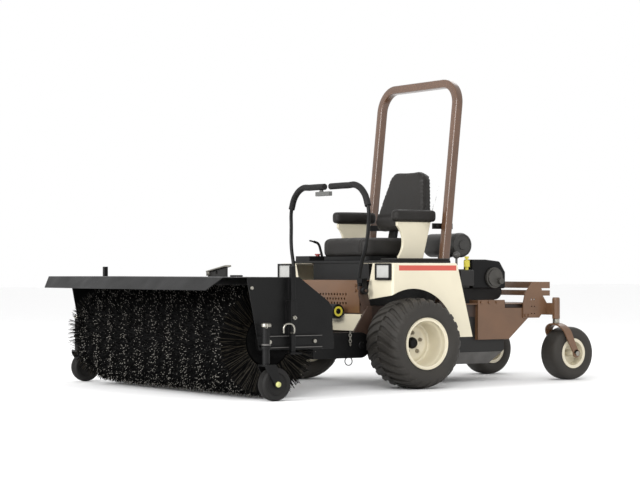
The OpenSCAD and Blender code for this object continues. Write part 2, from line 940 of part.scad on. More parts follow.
// Tail caster fork: stem, crown and two trailing bars with the wheel axle
module tail_fork(side) {
    leg = tail_fork_t;
    crown_t = 12;
    stem_top = tail_tube_top - 2;
    wheel_z = tail_tyre_d / 2;
    placed(brown) sided(side)
        translate([tail_pivot_x, tail_pivot_back, 0]) {
            translate([0, 0, tail_crown_z]) cylinder(d = tail_stem_d, h = stem_top - tail_crown_z);
            translate([0, 0, tail_crown_z])
                cylinder(d = tail_tube_d - 4, h = tail_tube_z - side_gap - tail_crown_z);
            box([-tail_leg_x - leg, -30, tail_crown_z],
                [tail_leg_x + leg, 32, tail_crown_z + crown_t]);
            for (x = [-tail_leg_x - leg, tail_leg_x]) {
                slab_x(x, leg, [
                    [-30, tail_crown_z + crown_t], [-30, tail_crown_z - 6],
                    [tail_trail - 52, wheel_z + 90], [tail_trail - 26, wheel_z],
                    [tail_trail + 26, wheel_z], [tail_trail + 8, wheel_z + 100],
                    [32, tail_crown_z + crown_t],
                ]);
                bar_x(x, tail_trail, wheel_z, 52, leg);
            }
            bar_x(-tail_leg_x - leg, tail_trail, wheel_z, tail_axle_d, 2 * (tail_leg_x + leg));
            hex_x(tail_leg_x + leg, tail_trail, wheel_z, 28, 10);
            hex_x(-tail_leg_x - leg - 10, tail_trail, wheel_z, 28, 10);
        }
}

module tail_rim(side) {
    bead_r = tail_bead_d / 2;
    flange_r = tail_flange_d / 2;
    b = tail_tyre_w / 2 - 14;
    hub_half = tail_leg_x - side_gap;
    bore_r = tail_axle_d / 2 + run_fit;
    placed(cream) sided(side)
        translate([tail_pivot_x, tail_pivot_back + tail_trail, tail_tyre_d / 2])
            rotate([0, 90, 0]) rotate_extrude() polygon([
                [bore_r, -hub_half], [20, -hub_half], [20, -3], [bead_r - 5, -3],
                [bead_r - 5, -b - 5], [flange_r, -b - 5], [flange_r, -b], [bead_r, -b],
                [bead_r, b], [flange_r, b], [flange_r, b + 5], [bead_r - 5, b + 5],
                [bead_r - 5, 3], [20, 3], [20, hub_half], [bore_r, hub_half],
            ]);
}

module tail_tyre(side) {
    placed(rubber) sided(side)
        translate([tail_pivot_x, tail_pivot_back + tail_trail, tail_tyre_d / 2])
            tyre(tail_tyre_d, tail_tyre_w, tail_bead_d, tail_tyre_w / 2 - 14, 8);
}

// Steering lever: hub on its pivot, tube up past the seat and across the lap, thick grip
lever_x = lever_hub_x + lever_hub_w / 2;
grip_z = 1177;

module steer_lever(side) {
    tip = side > 0 ? 22 : 43;
    grip_y = lever_y + 20;
    elbow = [lever_x + 8, grip_y, 1050];
    placed(black) sided(side) difference() {
        union() {
            bar_x(lever_hub_x, lever_y, lever_pivot_z, lever_hub_d, lever_hub_w);
            tube_path([
                [lever_x, lever_y, lever_pivot_z], [lever_x, lever_y, 660],
                [lever_x + 6, lever_y + 12, 800], [lever_x + 16, grip_y, 960], elbow,
            ], lever_d);
            tube_path([
                elbow, [lever_x - 30, grip_y, 1122], [lever_x - 110, grip_y, grip_z],
                [tip, grip_y, grip_z],
            ], grip_d);
        }
        bar_x(lever_hub_x - 1, lever_y, lever_pivot_z, lever_pin_d + 2 * run_fit, lever_hub_w + 2);
    }
}

// Flat switch box on a stem under the right grip
module thumb_switch() {
    grip_under = grip_z - grip_d / 2;
    placed(grey) {
        box([-126, lever_y + 6, 1122], [18, lever_y + 34, 1148]);
        box([-90, lever_y + 12, 1146], [-66, lever_y + 28, grip_under]);
    }
}

// Lift frame: two arms on the tractor's pins, a cross beam and the swing pin's fork
module lift_frame() {
    plate_t = 24;
    arm_half = lift_arm_h / 2;
    low = king_sleeve_z - side_gap - plate_t;
    high = king_sleeve_z + king_sleeve_h + side_gap;
    placed(black) difference() {
        union() {
            both() {
                box([lift_arm_x, lift_beam_y, lift_z - arm_half],
                    [lift_arm_x + lift_arm_w, -lift_ahead, lift_z + arm_half]);
                bar_x(lift_arm_x, -lift_ahead, lift_z, lift_arm_h, lift_arm_w);
            }
            box([-lift_arm_x - lift_arm_w, lift_beam_y, lift_z - arm_half],
                [lift_arm_x + lift_arm_w, lift_beam_y + lift_beam_d, lift_z + arm_half]);
            box([-80, lift_beam_y, lift_z - arm_half],
                [80, lift_beam_y + lift_beam_d, high + plate_t]);
            for (z = [low, high]) {
                box([-60, king_y, z], [60, lift_beam_y + 5, z + plate_t]);
                translate([0, king_y, z]) cylinder(d = 120, h = plate_t);
            }
            translate([0, king_y, low]) cylinder(d = king_d, h = high + plate_t - low + 12);
        }
        both()
            bar_x(lift_arm_x - 1, -lift_ahead, lift_z, lift_pin_d + 2 * run_fit, lift_arm_w + 2);
    }
}

// Swing frame: beam behind the hood with the sleeve that turns on the swing pin
module swing_frame() {
    beam_half = end_plate_x;
    post_top = 650;
    placed(black) difference() {
        union() {
            box([-beam_half, back_y, beam_z], [beam_half, back_y + beam_d, beam_z + beam_h]);
            box([-40, back_y, beam_z - 40], [40, king_y, beam_z + beam_h + 20]);
            box([-35, back_y, beam_z], [35, back_y + 45, post_top]);
            translate([0, king_y, king_sleeve_z]) cylinder(d = king_sleeve_d, h = king_sleeve_h);
        }
        translate([0, king_y, king_sleeve_z - 1])
            cylinder(d = king_d + 2 * run_fit, h = king_sleeve_h + 2);
    }
}

// Hood: one folded sheet over the brush, its lip cut back at both corners
module hood() {
    corner = 72;
    top_y = brush_y - hood_front;
    placed(black) difference() {
        slab_x(-end_plate_x, 2 * end_plate_x, sheet([
            [top_y - lip_run, hood_z - lip_drop], [top_y, hood_z], [hood_rear, hood_z], slope_foot,
            [back_y, slope_foot.y - 32], [back_y, back_foot],
        ], hood_t));
        both()
            translate([0, top_y - lip_run - 1, hood_z - lip_drop - 20])
                linear_extrude(lip_drop + 30) polygon([
                    [end_plate_x - corner, 0], [end_plate_x + 1, 0], [end_plate_x + 1, lip_run + 2],
                    [end_plate_x, lip_run + 1],
                ]);
    }
}

// End plates with the sleeves of the parking stands
module end_plates() {
    sleeve_top = sleeve_z + sleeve_h;
    placed(black) both() {
        slab_x(end_plate_x, end_plate_t, [
            [brush_y - 193, hood_z - hood_t - 8], [brush_y - 118, 262], [back_y + 10, 262],
            [back_y - seat_fit, 400], [back_y - seat_fit, slope_foot.y - 34],
            [slope_foot.x, slope_foot.y - 1], [hood_rear, hood_z - 1],
            [brush_y - 191, hood_z - 1],
        ]);
        difference() {
            box([end_outer_x, stand_y - sleeve_out, sleeve_z],
                [stand_x + sleeve_out, stand_y + sleeve_out, sleeve_top]);
            box([stand_x - stand_tube / 2 - sleeve_fit, stand_y - stand_tube / 2 - sleeve_fit,
                sleeve_z - 1],
                [stand_x + stand_tube / 2 + sleeve_fit, stand_y + stand_tube / 2 + sleeve_fit,
                sleeve_top + 1]);
        }
    }
}

// Caster arms: channel on each end plate that carries the caster's pivot tube
module caster_arms() {
    arm_rear = brush_y + 260;
    web = 6;
    placed(black) both() difference() {
        union() {
            difference() {
                box([end_outer_x, head_pivot_y, arm_z], [end_outer_x + arm_d, arm_rear, arm_z + arm_h]);
                box([end_outer_x + web, head_pivot_y + 40, arm_z + web],
                    [end_outer_x + arm_d + 1, arm_rear + 1, arm_z + arm_h - web]);
            }
            box([end_outer_x, head_pivot_y - 18, head_tube_z + 4],
                [head_pivot_x, head_pivot_y + 18, arm_z + arm_h]);
            translate([head_pivot_x, head_pivot_y, head_tube_z])
                cylinder(d = head_tube_d, h = head_tube_h);
        }
        translate([head_pivot_x, head_pivot_y, head_tube_z - 1])
            cylinder(d = head_stem_d + 2 * run_fit, h = head_tube_h + 2);
    }
}

// Motor that turns the brush, inside the right end plate
module brush_motor() {
    placed(grey) difference() {
        bar_x(-end_plate_x, brush_y, brush_z, 120, motor_l);
        bar_x(-end_plate_x + 55, brush_y, brush_z, shaft_d + 2 * run_fit, motor_l);
    }
}

// Flanged bearing inside the left end plate
module brush_bearing() {
    placed(zinc) difference() {
        bar_x(end_plate_x - bearing_t, brush_y, brush_z, 80, bearing_t);
        bar_x(end_plate_x - bearing_t - 1, brush_y, brush_z, shaft_d + 2 * run_fit, bearing_t - 2);
    }
}

// Height of the hood's rear slope at y
function slope_z(y) =
    hood_z + (slope_foot.y - hood_z) * (y - hood_rear) / (slope_foot.x - hood_rear);

// Bolts of the arms and plates, stand clamps and the lifting eye on the hood's rear slope
module head_hardware() {
    eye_y = brush_y + 230;
    eye_t = 15;
    eye_top = 694;
    clamp_x = stand_x + sleeve_out;
    placed(zinc) {
        both() {
            for (y = [brush_y + 220, brush_y - 60])
                hex_x(end_outer_x + 6, y, arm_z + arm_h / 2, 22, 9);
            hex_x(end_outer_x, brush_y - 166, hood_z - 56, 20, 7);
            hex_x(clamp_x, stand_y, sleeve_z + 30, 24, 10);
            bar_x(clamp_x + 9, stand_y, sleeve_z + 30, 8, 15);
        }
        difference() {
            slab_x(-100, 200, [
                [eye_y, slope_z(eye_y)], [eye_y + eye_t, slope_z(eye_y + eye_t)],
                [eye_y + eye_t, eye_top], [eye_y, eye_top],
            ]);
            translate([0, eye_y + eye_t + 1, eye_top - 30])
                rotate([90, 0, 0])
                    cylinder(d = 22, h = eye_t + 2);
        }
    }
}

// Brush core: shaft through a tube with closed ends
module brush_core() {
    core_wall = 8;
    placed(grey) {
        bar_x(60 - end_plate_x, brush_y, brush_z, shaft_d, 2 * end_plate_x - 60 - 6);
        difference() {
            bar_x(-brush_right, brush_y, brush_z, core_d, brush_left + brush_right);
            bar_x(core_wall - brush_right, brush_y, brush_z, core_d - 2 * core_wall,
                brush_left + brush_right - 2 * core_wall);
        }
    }
}

// Bristles: a thin sleeve round the core with rows of four-sided tufts, every second cell
// of a row and the other cells in the next row, so that the tufts run round as spirals
module bristles() {
    cells = 32;
    inner_r = (core_d / 2 + soft_gap) / cos(180 / cells);
    outer_r = inner_r + backing_t;
    tip_r = brush_d / 2 - 1;
    length = brush_left + brush_right;
    tuft_l = 18;
    tip_share = 0.45;
    pitch = (length - tuft_l - 8) / (tuft_rows - 1);
    edges = concat(
        [0],
        [for (row = [0 : tuft_rows - 1]) each [4 + row * pitch, 4 + row * pitch + tuft_l]],
        [length]
    );
    rings = len(edges);
    function at(x, r, a) = [x, r * cos(a), r * sin(a)];
    function is_tuft(k, i) = k % 2 == 1 && (i + floor(k / 2)) % 2 == 0;
    tufts = [
        for (k = [0 : rings - 2])
            for (i = [0 : cells - 1])
                if (is_tuft(k, i)) [k, i]
    ];
    outer_points = [for (x = edges) for (i = [0 : cells - 1]) at(x, outer_r, 360 * i / cells)];
    bore_points = [
        for (x = [edges[0], edges[rings - 1]])
            for (i = [0 : cells - 1]) at(x, inner_r, 360 * i / cells)
    ];
    tip_points = [
        for (t = tufts)
            let (x = (edges[t[0]] + edges[t[0] + 1]) / 2)
            let (a = 360 * (t[1] + 0.5) / cells)
            let (dx = tuft_l * tip_share / 2)
            let (da = 360 / cells * tip_share * outer_r / tip_r / 2)
            each [
                at(x - dx, tip_r, a - da), at(x + dx, tip_r, a - da),
                at(x + dx, tip_r, a + da), at(x - dx, tip_r, a + da),
            ]
    ];
    bore = rings * cells;
    tip = bore + 2 * cells;
    function corner(k, i) = k * cells + i % cells;
    function quad(a, b, c, d) = [[a, b, c], [a, c, d]];
    sleeve = [
        for (k = [0 : rings - 2])
            for (i = [0 : cells - 1])
                if (!is_tuft(k, i))
                    each quad(corner(k, i), corner(k + 1, i), corner(k + 1, i + 1), corner(k, i + 1))
    ];
    tuft_faces = [
        for (n = [0 : len(tufts) - 1])
            let (k = tufts[n][0])
            let (i = tufts[n][1])
            let (base = [corner(k, i), corner(k + 1, i), corner(k + 1, i + 1), corner(k, i + 1)])
            let (t = tip + 4 * n)
            each concat(
                [for (j = [0 : 3])
                    each quad(base[j], base[(j + 1) % 4], t + (j + 1) % 4, t + j)],
                quad(t, t + 1, t + 2, t + 3)
            )
    ];
    ends = [
        for (i = [0 : cells - 1])
            let (j = (i + 1) % cells)
            let (near = bore + cells)
            each concat(
                quad(bore + i, bore + j, near + j, near + i),
                quad(corner(0, i), corner(0, i + 1), bore + j, bore + i),
                quad(corner(rings - 1, i + 1), corner(rings - 1, i), near + i, near + j)
            )
    ];
    placed(black)
        translate([-brush_right, brush_y, brush_z])
            polyhedron(
                concat(outer_points, bore_points, tip_points),
                concat(sleeve, tuft_faces, ends)
            );
}

// Parking stand: square tube with a foot plate, sliding in its sleeve
module stand(side) {
    foot_t = 8;
    placed(black) sided(side) {
        box([stand_x - stand_tube / 2, stand_y - stand_tube / 2, stand_foot_z],
            [stand_x + stand_tube / 2, stand_y + stand_tube / 2, stand_foot_z + stand_l]);
        box([stand_x - stand_tube / 2, stand_y - 35, stand_foot_z],
            [stand_x + 40, stand_y + 35, stand_foot_z + foot_t]);
    }
}

// Caster fork of the head: stem with its cap, neck, crown and two legs with the axle
module head_fork(side) {
    leg_x = head_wheel_w / 2 + 4;
    leg_t = 6;
    crown_z = head_wheel_d + 5;
    stem_top = head_tube_z + head_tube_h;
    placed(black) sided(side)
        translate([head_pivot_x, head_pivot_y, 0]) {
            translate([0, 0, crown_z]) cylinder(d = head_stem_d, h = stem_top + 16 - crown_z);
            translate([0, 0, stem_top + side_gap]) cylinder(d = head_tube_d - 4, h = 14);
            translate([0, 0, crown_z]) cylinder(d = head_tube_d, h = head_tube_z - 15 - crown_z);
            translate([0, 0, head_tube_z - 16])
                cylinder(d = head_tube_d + 12, h = 16 - side_gap);
            box([-leg_x - leg_t, -24, crown_z], [leg_x + leg_t, 40, crown_z + 10]);
            for (x = [-leg_x - leg_t, leg_x]) {
                slab_x(x, leg_t, [
                    [-24, crown_z + 10], [-24, crown_z - 10], [head_trail - 20, head_axle_z],
                    [head_trail + 20, head_axle_z], [40, crown_z + 10],
                ]);
                bar_x(x, head_trail, head_axle_z, 40, leg_t);
            }
            bar_x(-leg_x - leg_t, head_trail, head_axle_z, 14, 2 * (leg_x + leg_t));
        }
}

// Solid rubber caster wheel of the head, grooved round its tread
module head_wheel(side) {
    r = head_wheel_d / 2;
    h = head_wheel_w / 2;
    hub_half = h + 4 - side_gap;
    placed(rubber) sided(side)
        translate([head_pivot_x, head_pivot_y + head_trail, head_axle_z])
            rotate([0, 90, 0]) rotate_extrude() polygon([
                [7 + run_fit, -hub_half], [18, -hub_half], [18, -h + 12], [r - 30, -h + 8],
                [r - 26, -h], [r - 6, -h], [r, -h + 8], [r, -8], [r - 4, -6], [r - 4, 6], [r, 8],
                [r, h - 8], [r - 6, h], [r - 26, h], [r - 30, h - 8], [18, h - 12],
                [18, hub_half], [7 + run_fit, hub_half],
            ]);
}

main_frame();
engine_deck();
tail_frame();
belly_pan();
front_panel();
lower_cover();
hydraulic_filter();
fender(1);  // fender_left
fender(-1);  // fender_right
lamp_bezels();
lamp_lenses();
rops();
seat_platform();
armrest_supports();
armrest_pads();
console();
console_lever();
pto_button();
seat_cushion();
seat_back();
engine_block();
engine_shroud();
round_cover();
air_cleaner();
valve_covers();
oil_cap();
muffler();
wheel_motors();
frame_bolts();
drive_hub(1);  // drive_hub_left
drive_rim(1);  // drive_rim_left
drive_tyre(1);  // drive_tyre_left
drive_hub(-1);  // drive_hub_right
drive_rim(-1);  // drive_rim_right
drive_tyre(-1);  // drive_tyre_right
tail_fork(1);  // tail_fork_left
tail_rim(1);  // tail_rim_left
tail_tyre(1);  // tail_tyre_left
tail_fork(-1);  // tail_fork_right
tail_rim(-1);  // tail_rim_right
tail_tyre(-1);  // tail_tyre_right
steer_lever(1);  // steer_lever_left
steer_lever(-1);  // steer_lever_right
thumb_switch();
lift_frame();
swing_frame();
hood();
end_plates();
caster_arms();
brush_motor();
brush_bearing();
head_hardware();
brush_core();
bristles();
stand(1);  // stand_left
stand(-1);  // stand_right
head_fork(1);  // head_fork_left
head_wheel(1);  // head_wheel_left
head_fork(-1);  // head_fork_right
head_wheel(-1);  // head_wheel_right
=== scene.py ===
import json
import math
import random

import bmesh
import bpy
from mathutils import Matrix, Vector

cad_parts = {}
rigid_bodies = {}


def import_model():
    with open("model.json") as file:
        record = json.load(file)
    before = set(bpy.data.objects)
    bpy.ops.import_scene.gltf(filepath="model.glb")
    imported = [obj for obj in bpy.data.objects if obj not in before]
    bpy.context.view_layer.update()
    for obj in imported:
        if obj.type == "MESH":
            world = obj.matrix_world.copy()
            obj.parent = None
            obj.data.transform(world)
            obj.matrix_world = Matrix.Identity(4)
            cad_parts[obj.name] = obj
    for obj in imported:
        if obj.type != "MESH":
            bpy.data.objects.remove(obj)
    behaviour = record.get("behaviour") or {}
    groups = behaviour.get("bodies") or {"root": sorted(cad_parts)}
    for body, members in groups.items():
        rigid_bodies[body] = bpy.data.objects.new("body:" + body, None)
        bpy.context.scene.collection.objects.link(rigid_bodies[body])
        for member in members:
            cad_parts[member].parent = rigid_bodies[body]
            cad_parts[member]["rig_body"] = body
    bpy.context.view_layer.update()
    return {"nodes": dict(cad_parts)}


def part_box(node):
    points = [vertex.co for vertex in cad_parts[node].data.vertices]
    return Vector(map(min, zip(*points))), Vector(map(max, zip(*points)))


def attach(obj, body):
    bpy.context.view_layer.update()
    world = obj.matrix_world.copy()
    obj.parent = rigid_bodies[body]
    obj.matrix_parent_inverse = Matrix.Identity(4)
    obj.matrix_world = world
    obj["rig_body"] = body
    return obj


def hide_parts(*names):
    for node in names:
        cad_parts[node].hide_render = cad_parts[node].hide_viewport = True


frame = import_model()
nodes = frame["nodes"]

# Studio: a low camera with a long lens at the machine's front left, a plain pale floor,
# a white surround and three large soft lamps.
turn = math.radians(56.3391)
tilt = math.radians(0.9002)
across = Vector((math.cos(turn), math.sin(turn), 0))
ahead = Vector((-math.sin(turn) * math.cos(tilt), math.cos(turn) * math.cos(tilt), math.sin(tilt)))
stance = Matrix((across, across.cross(ahead), -ahead)).transposed().to_4x4()
stance.translation = (9.4996, -6.5260, 0.6783)
camera = bpy.data.objects.new("camera", bpy.data.cameras.new("camera"))
camera.matrix_world = stance
camera.data.sensor_width = 36
camera.data.lens = 108.04
camera.data.clip_end = 200
bpy.context.collection.objects.link(camera)
bpy.context.scene.camera = camera
lamp_aim = Vector((0, 0, 0.7))


def studio_lamp(name, place, size, power):
    """A square soft lamp that faces the middle of the machine."""
    light = bpy.data.lights.new(name, "AREA")
    light.size = size
    light.energy = power
    lamp = bpy.data.objects.new(name, light)
    lamp.matrix_world = (lamp_aim - Vector(place)).to_track_quat("-Z", "Y").to_matrix().to_4x4()
    lamp.matrix_world.translation = place
    bpy.context.collection.objects.link(lamp)


studio_lamp("key_lamp", (8.0, -5.5, 5.0), 4.0, 390)
studio_lamp("front_lamp", (1.5, -9.5, 3.5), 4.0, 760)
studio_lamp("back_lamp", (-5.0, 6.0, 7.0), 5.0, 120)
bpy.context.scene.view_settings.view_transform = "Standard"
surround = bpy.data.worlds.new("surround")
surround.use_nodes = True
surround.node_tree.nodes["Background"].inputs["Color"].default_value = (1, 1, 1, 1)
surround.node_tree.nodes["Background"].inputs["Strength"].default_value = 1.0
bpy.context.scene.world = surround


def tint(red, green, blue):
    """A screen colour of 0 to 255 as the shader's own values."""
    shares = [c / 255 for c in (red, green, blue)]
    return Vector([s / 12.92 if s < 0.04045 else ((s + 0.055) / 1.055) ** 2.4 for s in shares])


def added(tree, kind, inputs, **settings):
    """A new shader node, each input set to a value or linked to another node's output."""
    node = tree.nodes.new("ShaderNode" + kind)
    for setting, value in settings.items():
        setattr(node, setting, value)
    for key, value in inputs.items():
        if isinstance(value, bpy.types.NodeSocket):
            tree.links.new(value, node.inputs[key])
        else:
            node.inputs[key].default_value = value
    return node


def paint_over(material, mask, colour):
    """Gives a finish another colour where the mask is one."""
    tree = material.node_tree
    base = tree.nodes["Principled BSDF"].inputs["Base Color"]
    mix = added(tree, "Mix", {"Factor": mask, "A": base.links[0].from_socket, "B": (*colour, 1)},
                data_type="RGBA")
    tree.links.new(mix.outputs["Result"], base)


def coat(name, colour, rough, spread=0.10, cloud=6.0, relief=0.10, grain=320.0, metal=0.0,
         gloss=0.0, shine=0.5, scuff=None, scuff_share=0.36, slot=None):
    """A finish that varies in tone and sheen, with a fine grain and perhaps scuffs."""
    material = bpy.data.materials.new(name)
    material["slot"] = slot or name
    material.use_nodes = True
    tree = material.node_tree
    shader = tree.nodes["Principled BSDF"]
    shader.inputs["Metallic"].default_value = metal
    shader.inputs["Coat Weight"].default_value = gloss
    shader.inputs["Specular IOR Level"].default_value = shine
    spot = added(tree, "TexCoord", {}).outputs["Object"]
    clouds = added(tree, "TexNoise", {"Vector": spot, "Scale": cloud, "Detail": 6.0}).outputs["Fac"]
    tone = added(tree, "ValToRGB", {"Fac": clouds})
    for end, place, shade in ((0, 0.35, 1 - spread), (1, 0.65, 1 + spread)):
        tone.color_ramp.elements[end].position = place
        tone.color_ramp.elements[end].color = (*(colour * shade), 1)
    tree.links.new(tone.outputs["Color"], shader.inputs["Base Color"])
    if scuff:
        specks = added(tree, "TexNoise", {"Vector": spot, "Scale": 46.0, "Detail": 8.0,
                                          "Roughness": 0.7})
        clean = 1 - scuff_share
        worn = added(tree, "MapRange", {"Value": specks.outputs["Fac"], "From Min": clean,
                                        "From Max": clean + 0.12})
        paint_over(material, worn.outputs["Result"], scuff)
    sheen = added(tree, "MapRange", {"Value": clouds, "From Min": 0.3, "From Max": 0.7,
                                     "To Min": max(rough - 0.07, 0.03),
                                     "To Max": min(rough + 0.09, 1.0)})
    tree.links.new(sheen.outputs["Result"], shader.inputs["Roughness"])
    grit = added(tree, "TexNoise", {"Vector": spot, "Scale": grain, "Detail": 3.0})
    rise = added(tree, "Bump", {"Strength": relief, "Distance": 0.002,
                                "Height": grit.outputs["Fac"]})
    tree.links.new(rise.outputs["Normal"], shader.inputs["Normal"])
    return material


studio_floor = bmesh.new()
bmesh.ops.create_grid(studio_floor, x_segments=1, y_segments=1, size=60)
floor_mesh = bpy.data.meshes.new("studio_floor")
studio_floor.to_mesh(floor_mesh)
studio_floor.free()
floor = bpy.data.objects.new("studio_floor", floor_mesh)
paper = coat("floor_paper", tint(250, 250, 250), 0.9, spread=0.01, relief=0.02)
floor_mesh.materials.append(paper)
bpy.context.collection.objects.link(floor)

# Frame of the tractor: channel rails, cross members and the tail with its caster tubes,
# welded from folded and cut steel and sprayed brown. The engine bed is bolted on the rails.
brown = coat("brown_paint", tint(102, 73, 50), 0.38, gloss=0.2,
             scuff=tint(80, 56, 40), scuff_share=0.33)
# Main frame and front cross bar: a darker copy of the frame brown, painted shade where they sit in
# shadow under the machine.
brown_painted_shade = coat("frame_brown_painted_shade", tint(54, 38, 29), 0.5, spread=0.2, cloud=8.0,
                    scuff=tint(34, 27, 23), scuff_share=0.4, slot="brown_paint")


def put_on(name, shape, material, body, *stands_for, sharp=35):
    """Makes an object of a finished shape and fixes it to its body."""
    for face in shape.faces:
        face.smooth = True
    for edge in shape.edges:
        if len(edge.link_faces) == 2:
            edge.smooth = edge.calc_face_angle(0) < math.radians(sharp)
    mesh = bpy.data.meshes.new(name)
    shape.to_mesh(mesh)
    shape.free()
    mesh.materials.append(material)
    piece = bpy.data.objects.new(name, mesh)
    bpy.context.collection.objects.link(piece)
    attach(piece, body)
    if stands_for:
        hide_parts(*stands_for)
    return piece


def whole(shape):
    """Every vertex, edge and face of a shape."""
    return shape.verts[:] + shape.edges[:] + shape.faces[:]


def ground_off(piece, width, steps, angle):
    """Rounds the edges of a piece that are sharper than the angle."""
    ground = piece.modifiers.new("ground", "BEVEL")
    ground.width = width
    ground.segments = steps
    ground.limit_method = "ANGLE"
    ground.angle_limit = math.radians(angle)
    ground.harden_normals = True


def eased(node, material, radius, steps=2, cuts=(), name=None):
    """The CAD piece again, trimmed by planes, with every sharp edge ground or folded round."""
    shape = bmesh.new()
    shape.from_mesh(nodes[node].data)
    bmesh.ops.remove_doubles(shape, verts=shape.verts, dist=0.00005)
    flat = math.radians(1)
    bmesh.ops.dissolve_limit(shape, angle_limit=flat, verts=shape.verts, edges=shape.edges)
    for point, outward in cuts:
        bmesh.ops.bisect_plane(shape, geom=whole(shape), plane_co=point, plane_no=outward,
                               clear_outer=True)
        bmesh.ops.holes_fill(shape, edges=[e for e in shape.edges if e.is_boundary])
    body = nodes[node]["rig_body"]
    piece = put_on(name or node + "_eased", shape, material, body, node, sharp=50)
    ground_off(piece, radius, steps, 38)
    return piece


def dress(material, *names):
    """Gives CAD pieces that keep their own shape their finish."""
    for name in names:
        for held in nodes[name].material_slots:
            held.material = material


def block(shape, place, size, lean=Matrix()):
    """Adds a box to a shape, level or leaning."""
    at = Matrix.Translation(place) @ lean @ Matrix.Diagonal((*size, 1))
    return bmesh.ops.create_cube(shape, size=1, matrix=at)["verts"]


def rounded(shape, offset, steps, edges=None):
    """Rounds some edges of a shape, or all of them."""
    chosen = shape.edges[:] if edges is None else edges
    bmesh.ops.bevel(shape, geom=chosen, offset=offset, segments=steps, profile=0.5,
                    affect="EDGES", material=-1)


def both_sides(shape):
    """Copies a shape made for the left side to the right side too."""
    bmesh.ops.mirror(shape, geom=whole(shape), axis="X", merge_dist=0)
    bmesh.ops.recalc_face_normals(shape, faces=shape.faces)


eased("main_frame", brown_painted_shade, 0.002)
eased("engine_deck", brown, 0.003)
eased("tail_frame", brown, 0.002)
dress(brown, "frame_bolts")
deck_fold = bmesh.new()
block(deck_fold, (0.286, 0.7335, 0.3765), (0.084, 0.004, 0.241))
rounded(deck_fold, 0.0015, 2)
both_sides(deck_fold)
put_on("engine_deck_folds", deck_fold, brown, "tractor")

# Tray under the engine: folded dark sheet hung from the rails, with a plain guard plate along the
# foot of each side, its light grey painted light for the lit face of the plate.
dark_metal = coat("dark_metal", tint(38, 37, 36), 0.45, spread=0.14, metal=0.3, shine=0.4,
                  scuff=tint(70, 66, 60))
# Light grey steel: its lightness is painted light on the guard plates and a painted highlight on
# the caster arm strips.
pale_steel_and_painted_light = coat("pale_steel_and_painted_light", tint(80, 78, 76), 0.5, spread=0.16, cloud=14.0, metal=0.2,
                  relief=0.12, slot="dark_metal")
guard_t = 0.004
guard_gap = 0.0005
guard_outline = [(0.0600, 0.0010), (0.3370, 0.0010), (0.4450, 0.0705), (0.1000, 0.0705)]


def corners(geom):
    """The vertices among an operator's results."""
    return [v for v in geom if isinstance(v, bmesh.types.BMVert)]


eased("belly_pan", dark_metal, 0.002)
pan_low, pan_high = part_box("belly_pan")
guard_plate = bmesh.new()
guard_face = guard_plate.faces.new(
    [guard_plate.verts.new((pan_high[0] + guard_gap, pan_low[1] + y, pan_low[2] + z))
     for y, z in guard_outline])
raised = bmesh.ops.extrude_face_region(guard_plate, geom=[guard_face])["geom"]
bmesh.ops.translate(guard_plate, vec=(guard_t, 0, 0), verts=corners(raised))
rounded(guard_plate, 0.0012, 2)
both_sides(guard_plate)
put_on("belly_guard_plates", guard_plate, pale_steel_and_painted_light, "tractor")

# Front of the tractor: a perforated brown panel with a black sheet behind its holes as painted
# shade for the dark inside, the cream cover under it and a spin-on hydraulic filter, a black can
# with a yellow ring on its end.
cream = coat("cream_paint", tint(210, 202, 179), 0.36, spread=0.03, relief=0.05, gloss=0.2,
             scuff=tint(196, 185, 160), scuff_share=0.34)
black_paint = coat("black_paint", tint(9, 9, 9), 0.42, spread=0.25, relief=0.12, shine=0.2,
                   scuff=tint(30, 29, 28), scuff_share=0.32)
yellow = coat("yellow_plastic", tint(196, 184, 62), 0.4, spread=0.06, relief=0.04)
painted_shade_backing = coat("painted_shade_backing", tint(8, 8, 8), 0.95, spread=0.3, cloud=50.0, relief=0.5, shine=0.0,
            slot="black_plastic")
dress(brown, "front_panel")
eased("lower_cover", cream, 0.0015)
# A black sheet behind the panel's holes: painted shade for the dark inside seen through them.
shade_backing_sheet = bmesh.new()
block(shade_backing_sheet, (0, -0.1305, 0.512), (0.44, 0.002, 0.076))
rounded(shade_backing_sheet, 0.0006, 1)
put_on("panel_painted_shade_backing", shade_backing_sheet, painted_shade_backing, "tractor")


def turned(profile, centre, steps=64):
    """A shape turned about the X axis through centre, from (radius, x) points of its outline."""
    shape = bmesh.new()
    points = [shape.verts.new((centre[0] + x, centre[1], centre[2] + r)) for r, x in profile]
    line = [shape.edges.new(pair) for pair in zip(points, points[1:])]
    bmesh.ops.spin(shape, geom=points + line, cent=centre, axis=(1, 0, 0), angle=2 * math.pi,
                   steps=steps, use_merge=True)
    bmesh.ops.remove_doubles(shape, verts=shape.verts, dist=0.00001)
    bmesh.ops.recalc_face_normals(shape, faces=shape.faces)
    return shape


filter_axis = (0.1, -0.2075, 0.438)
can = turned([(0, 0), (0.040, 0), (0.0435, 0.004), (0.0435, 0.098), (0.041, 0.105), (0.037, 0.107),
              (0.035, 0.1045), (0.012, 0.1045), (0.010, 0.108), (0, 0.108)], filter_axis)
block(can, (0.069, -0.172, 0.448), (0.06, 0.12, 0.044))
put_on("filter_can", can, black_paint, "tractor", "hydraulic_filter")
band = turned([(0.017, 0.104), (0.029, 0.104), (0.029, 0.1062), (0.017, 0.1062), (0.017, 0.104)],
              filter_axis)
put_on("filter_band", band, yellow, "tractor")

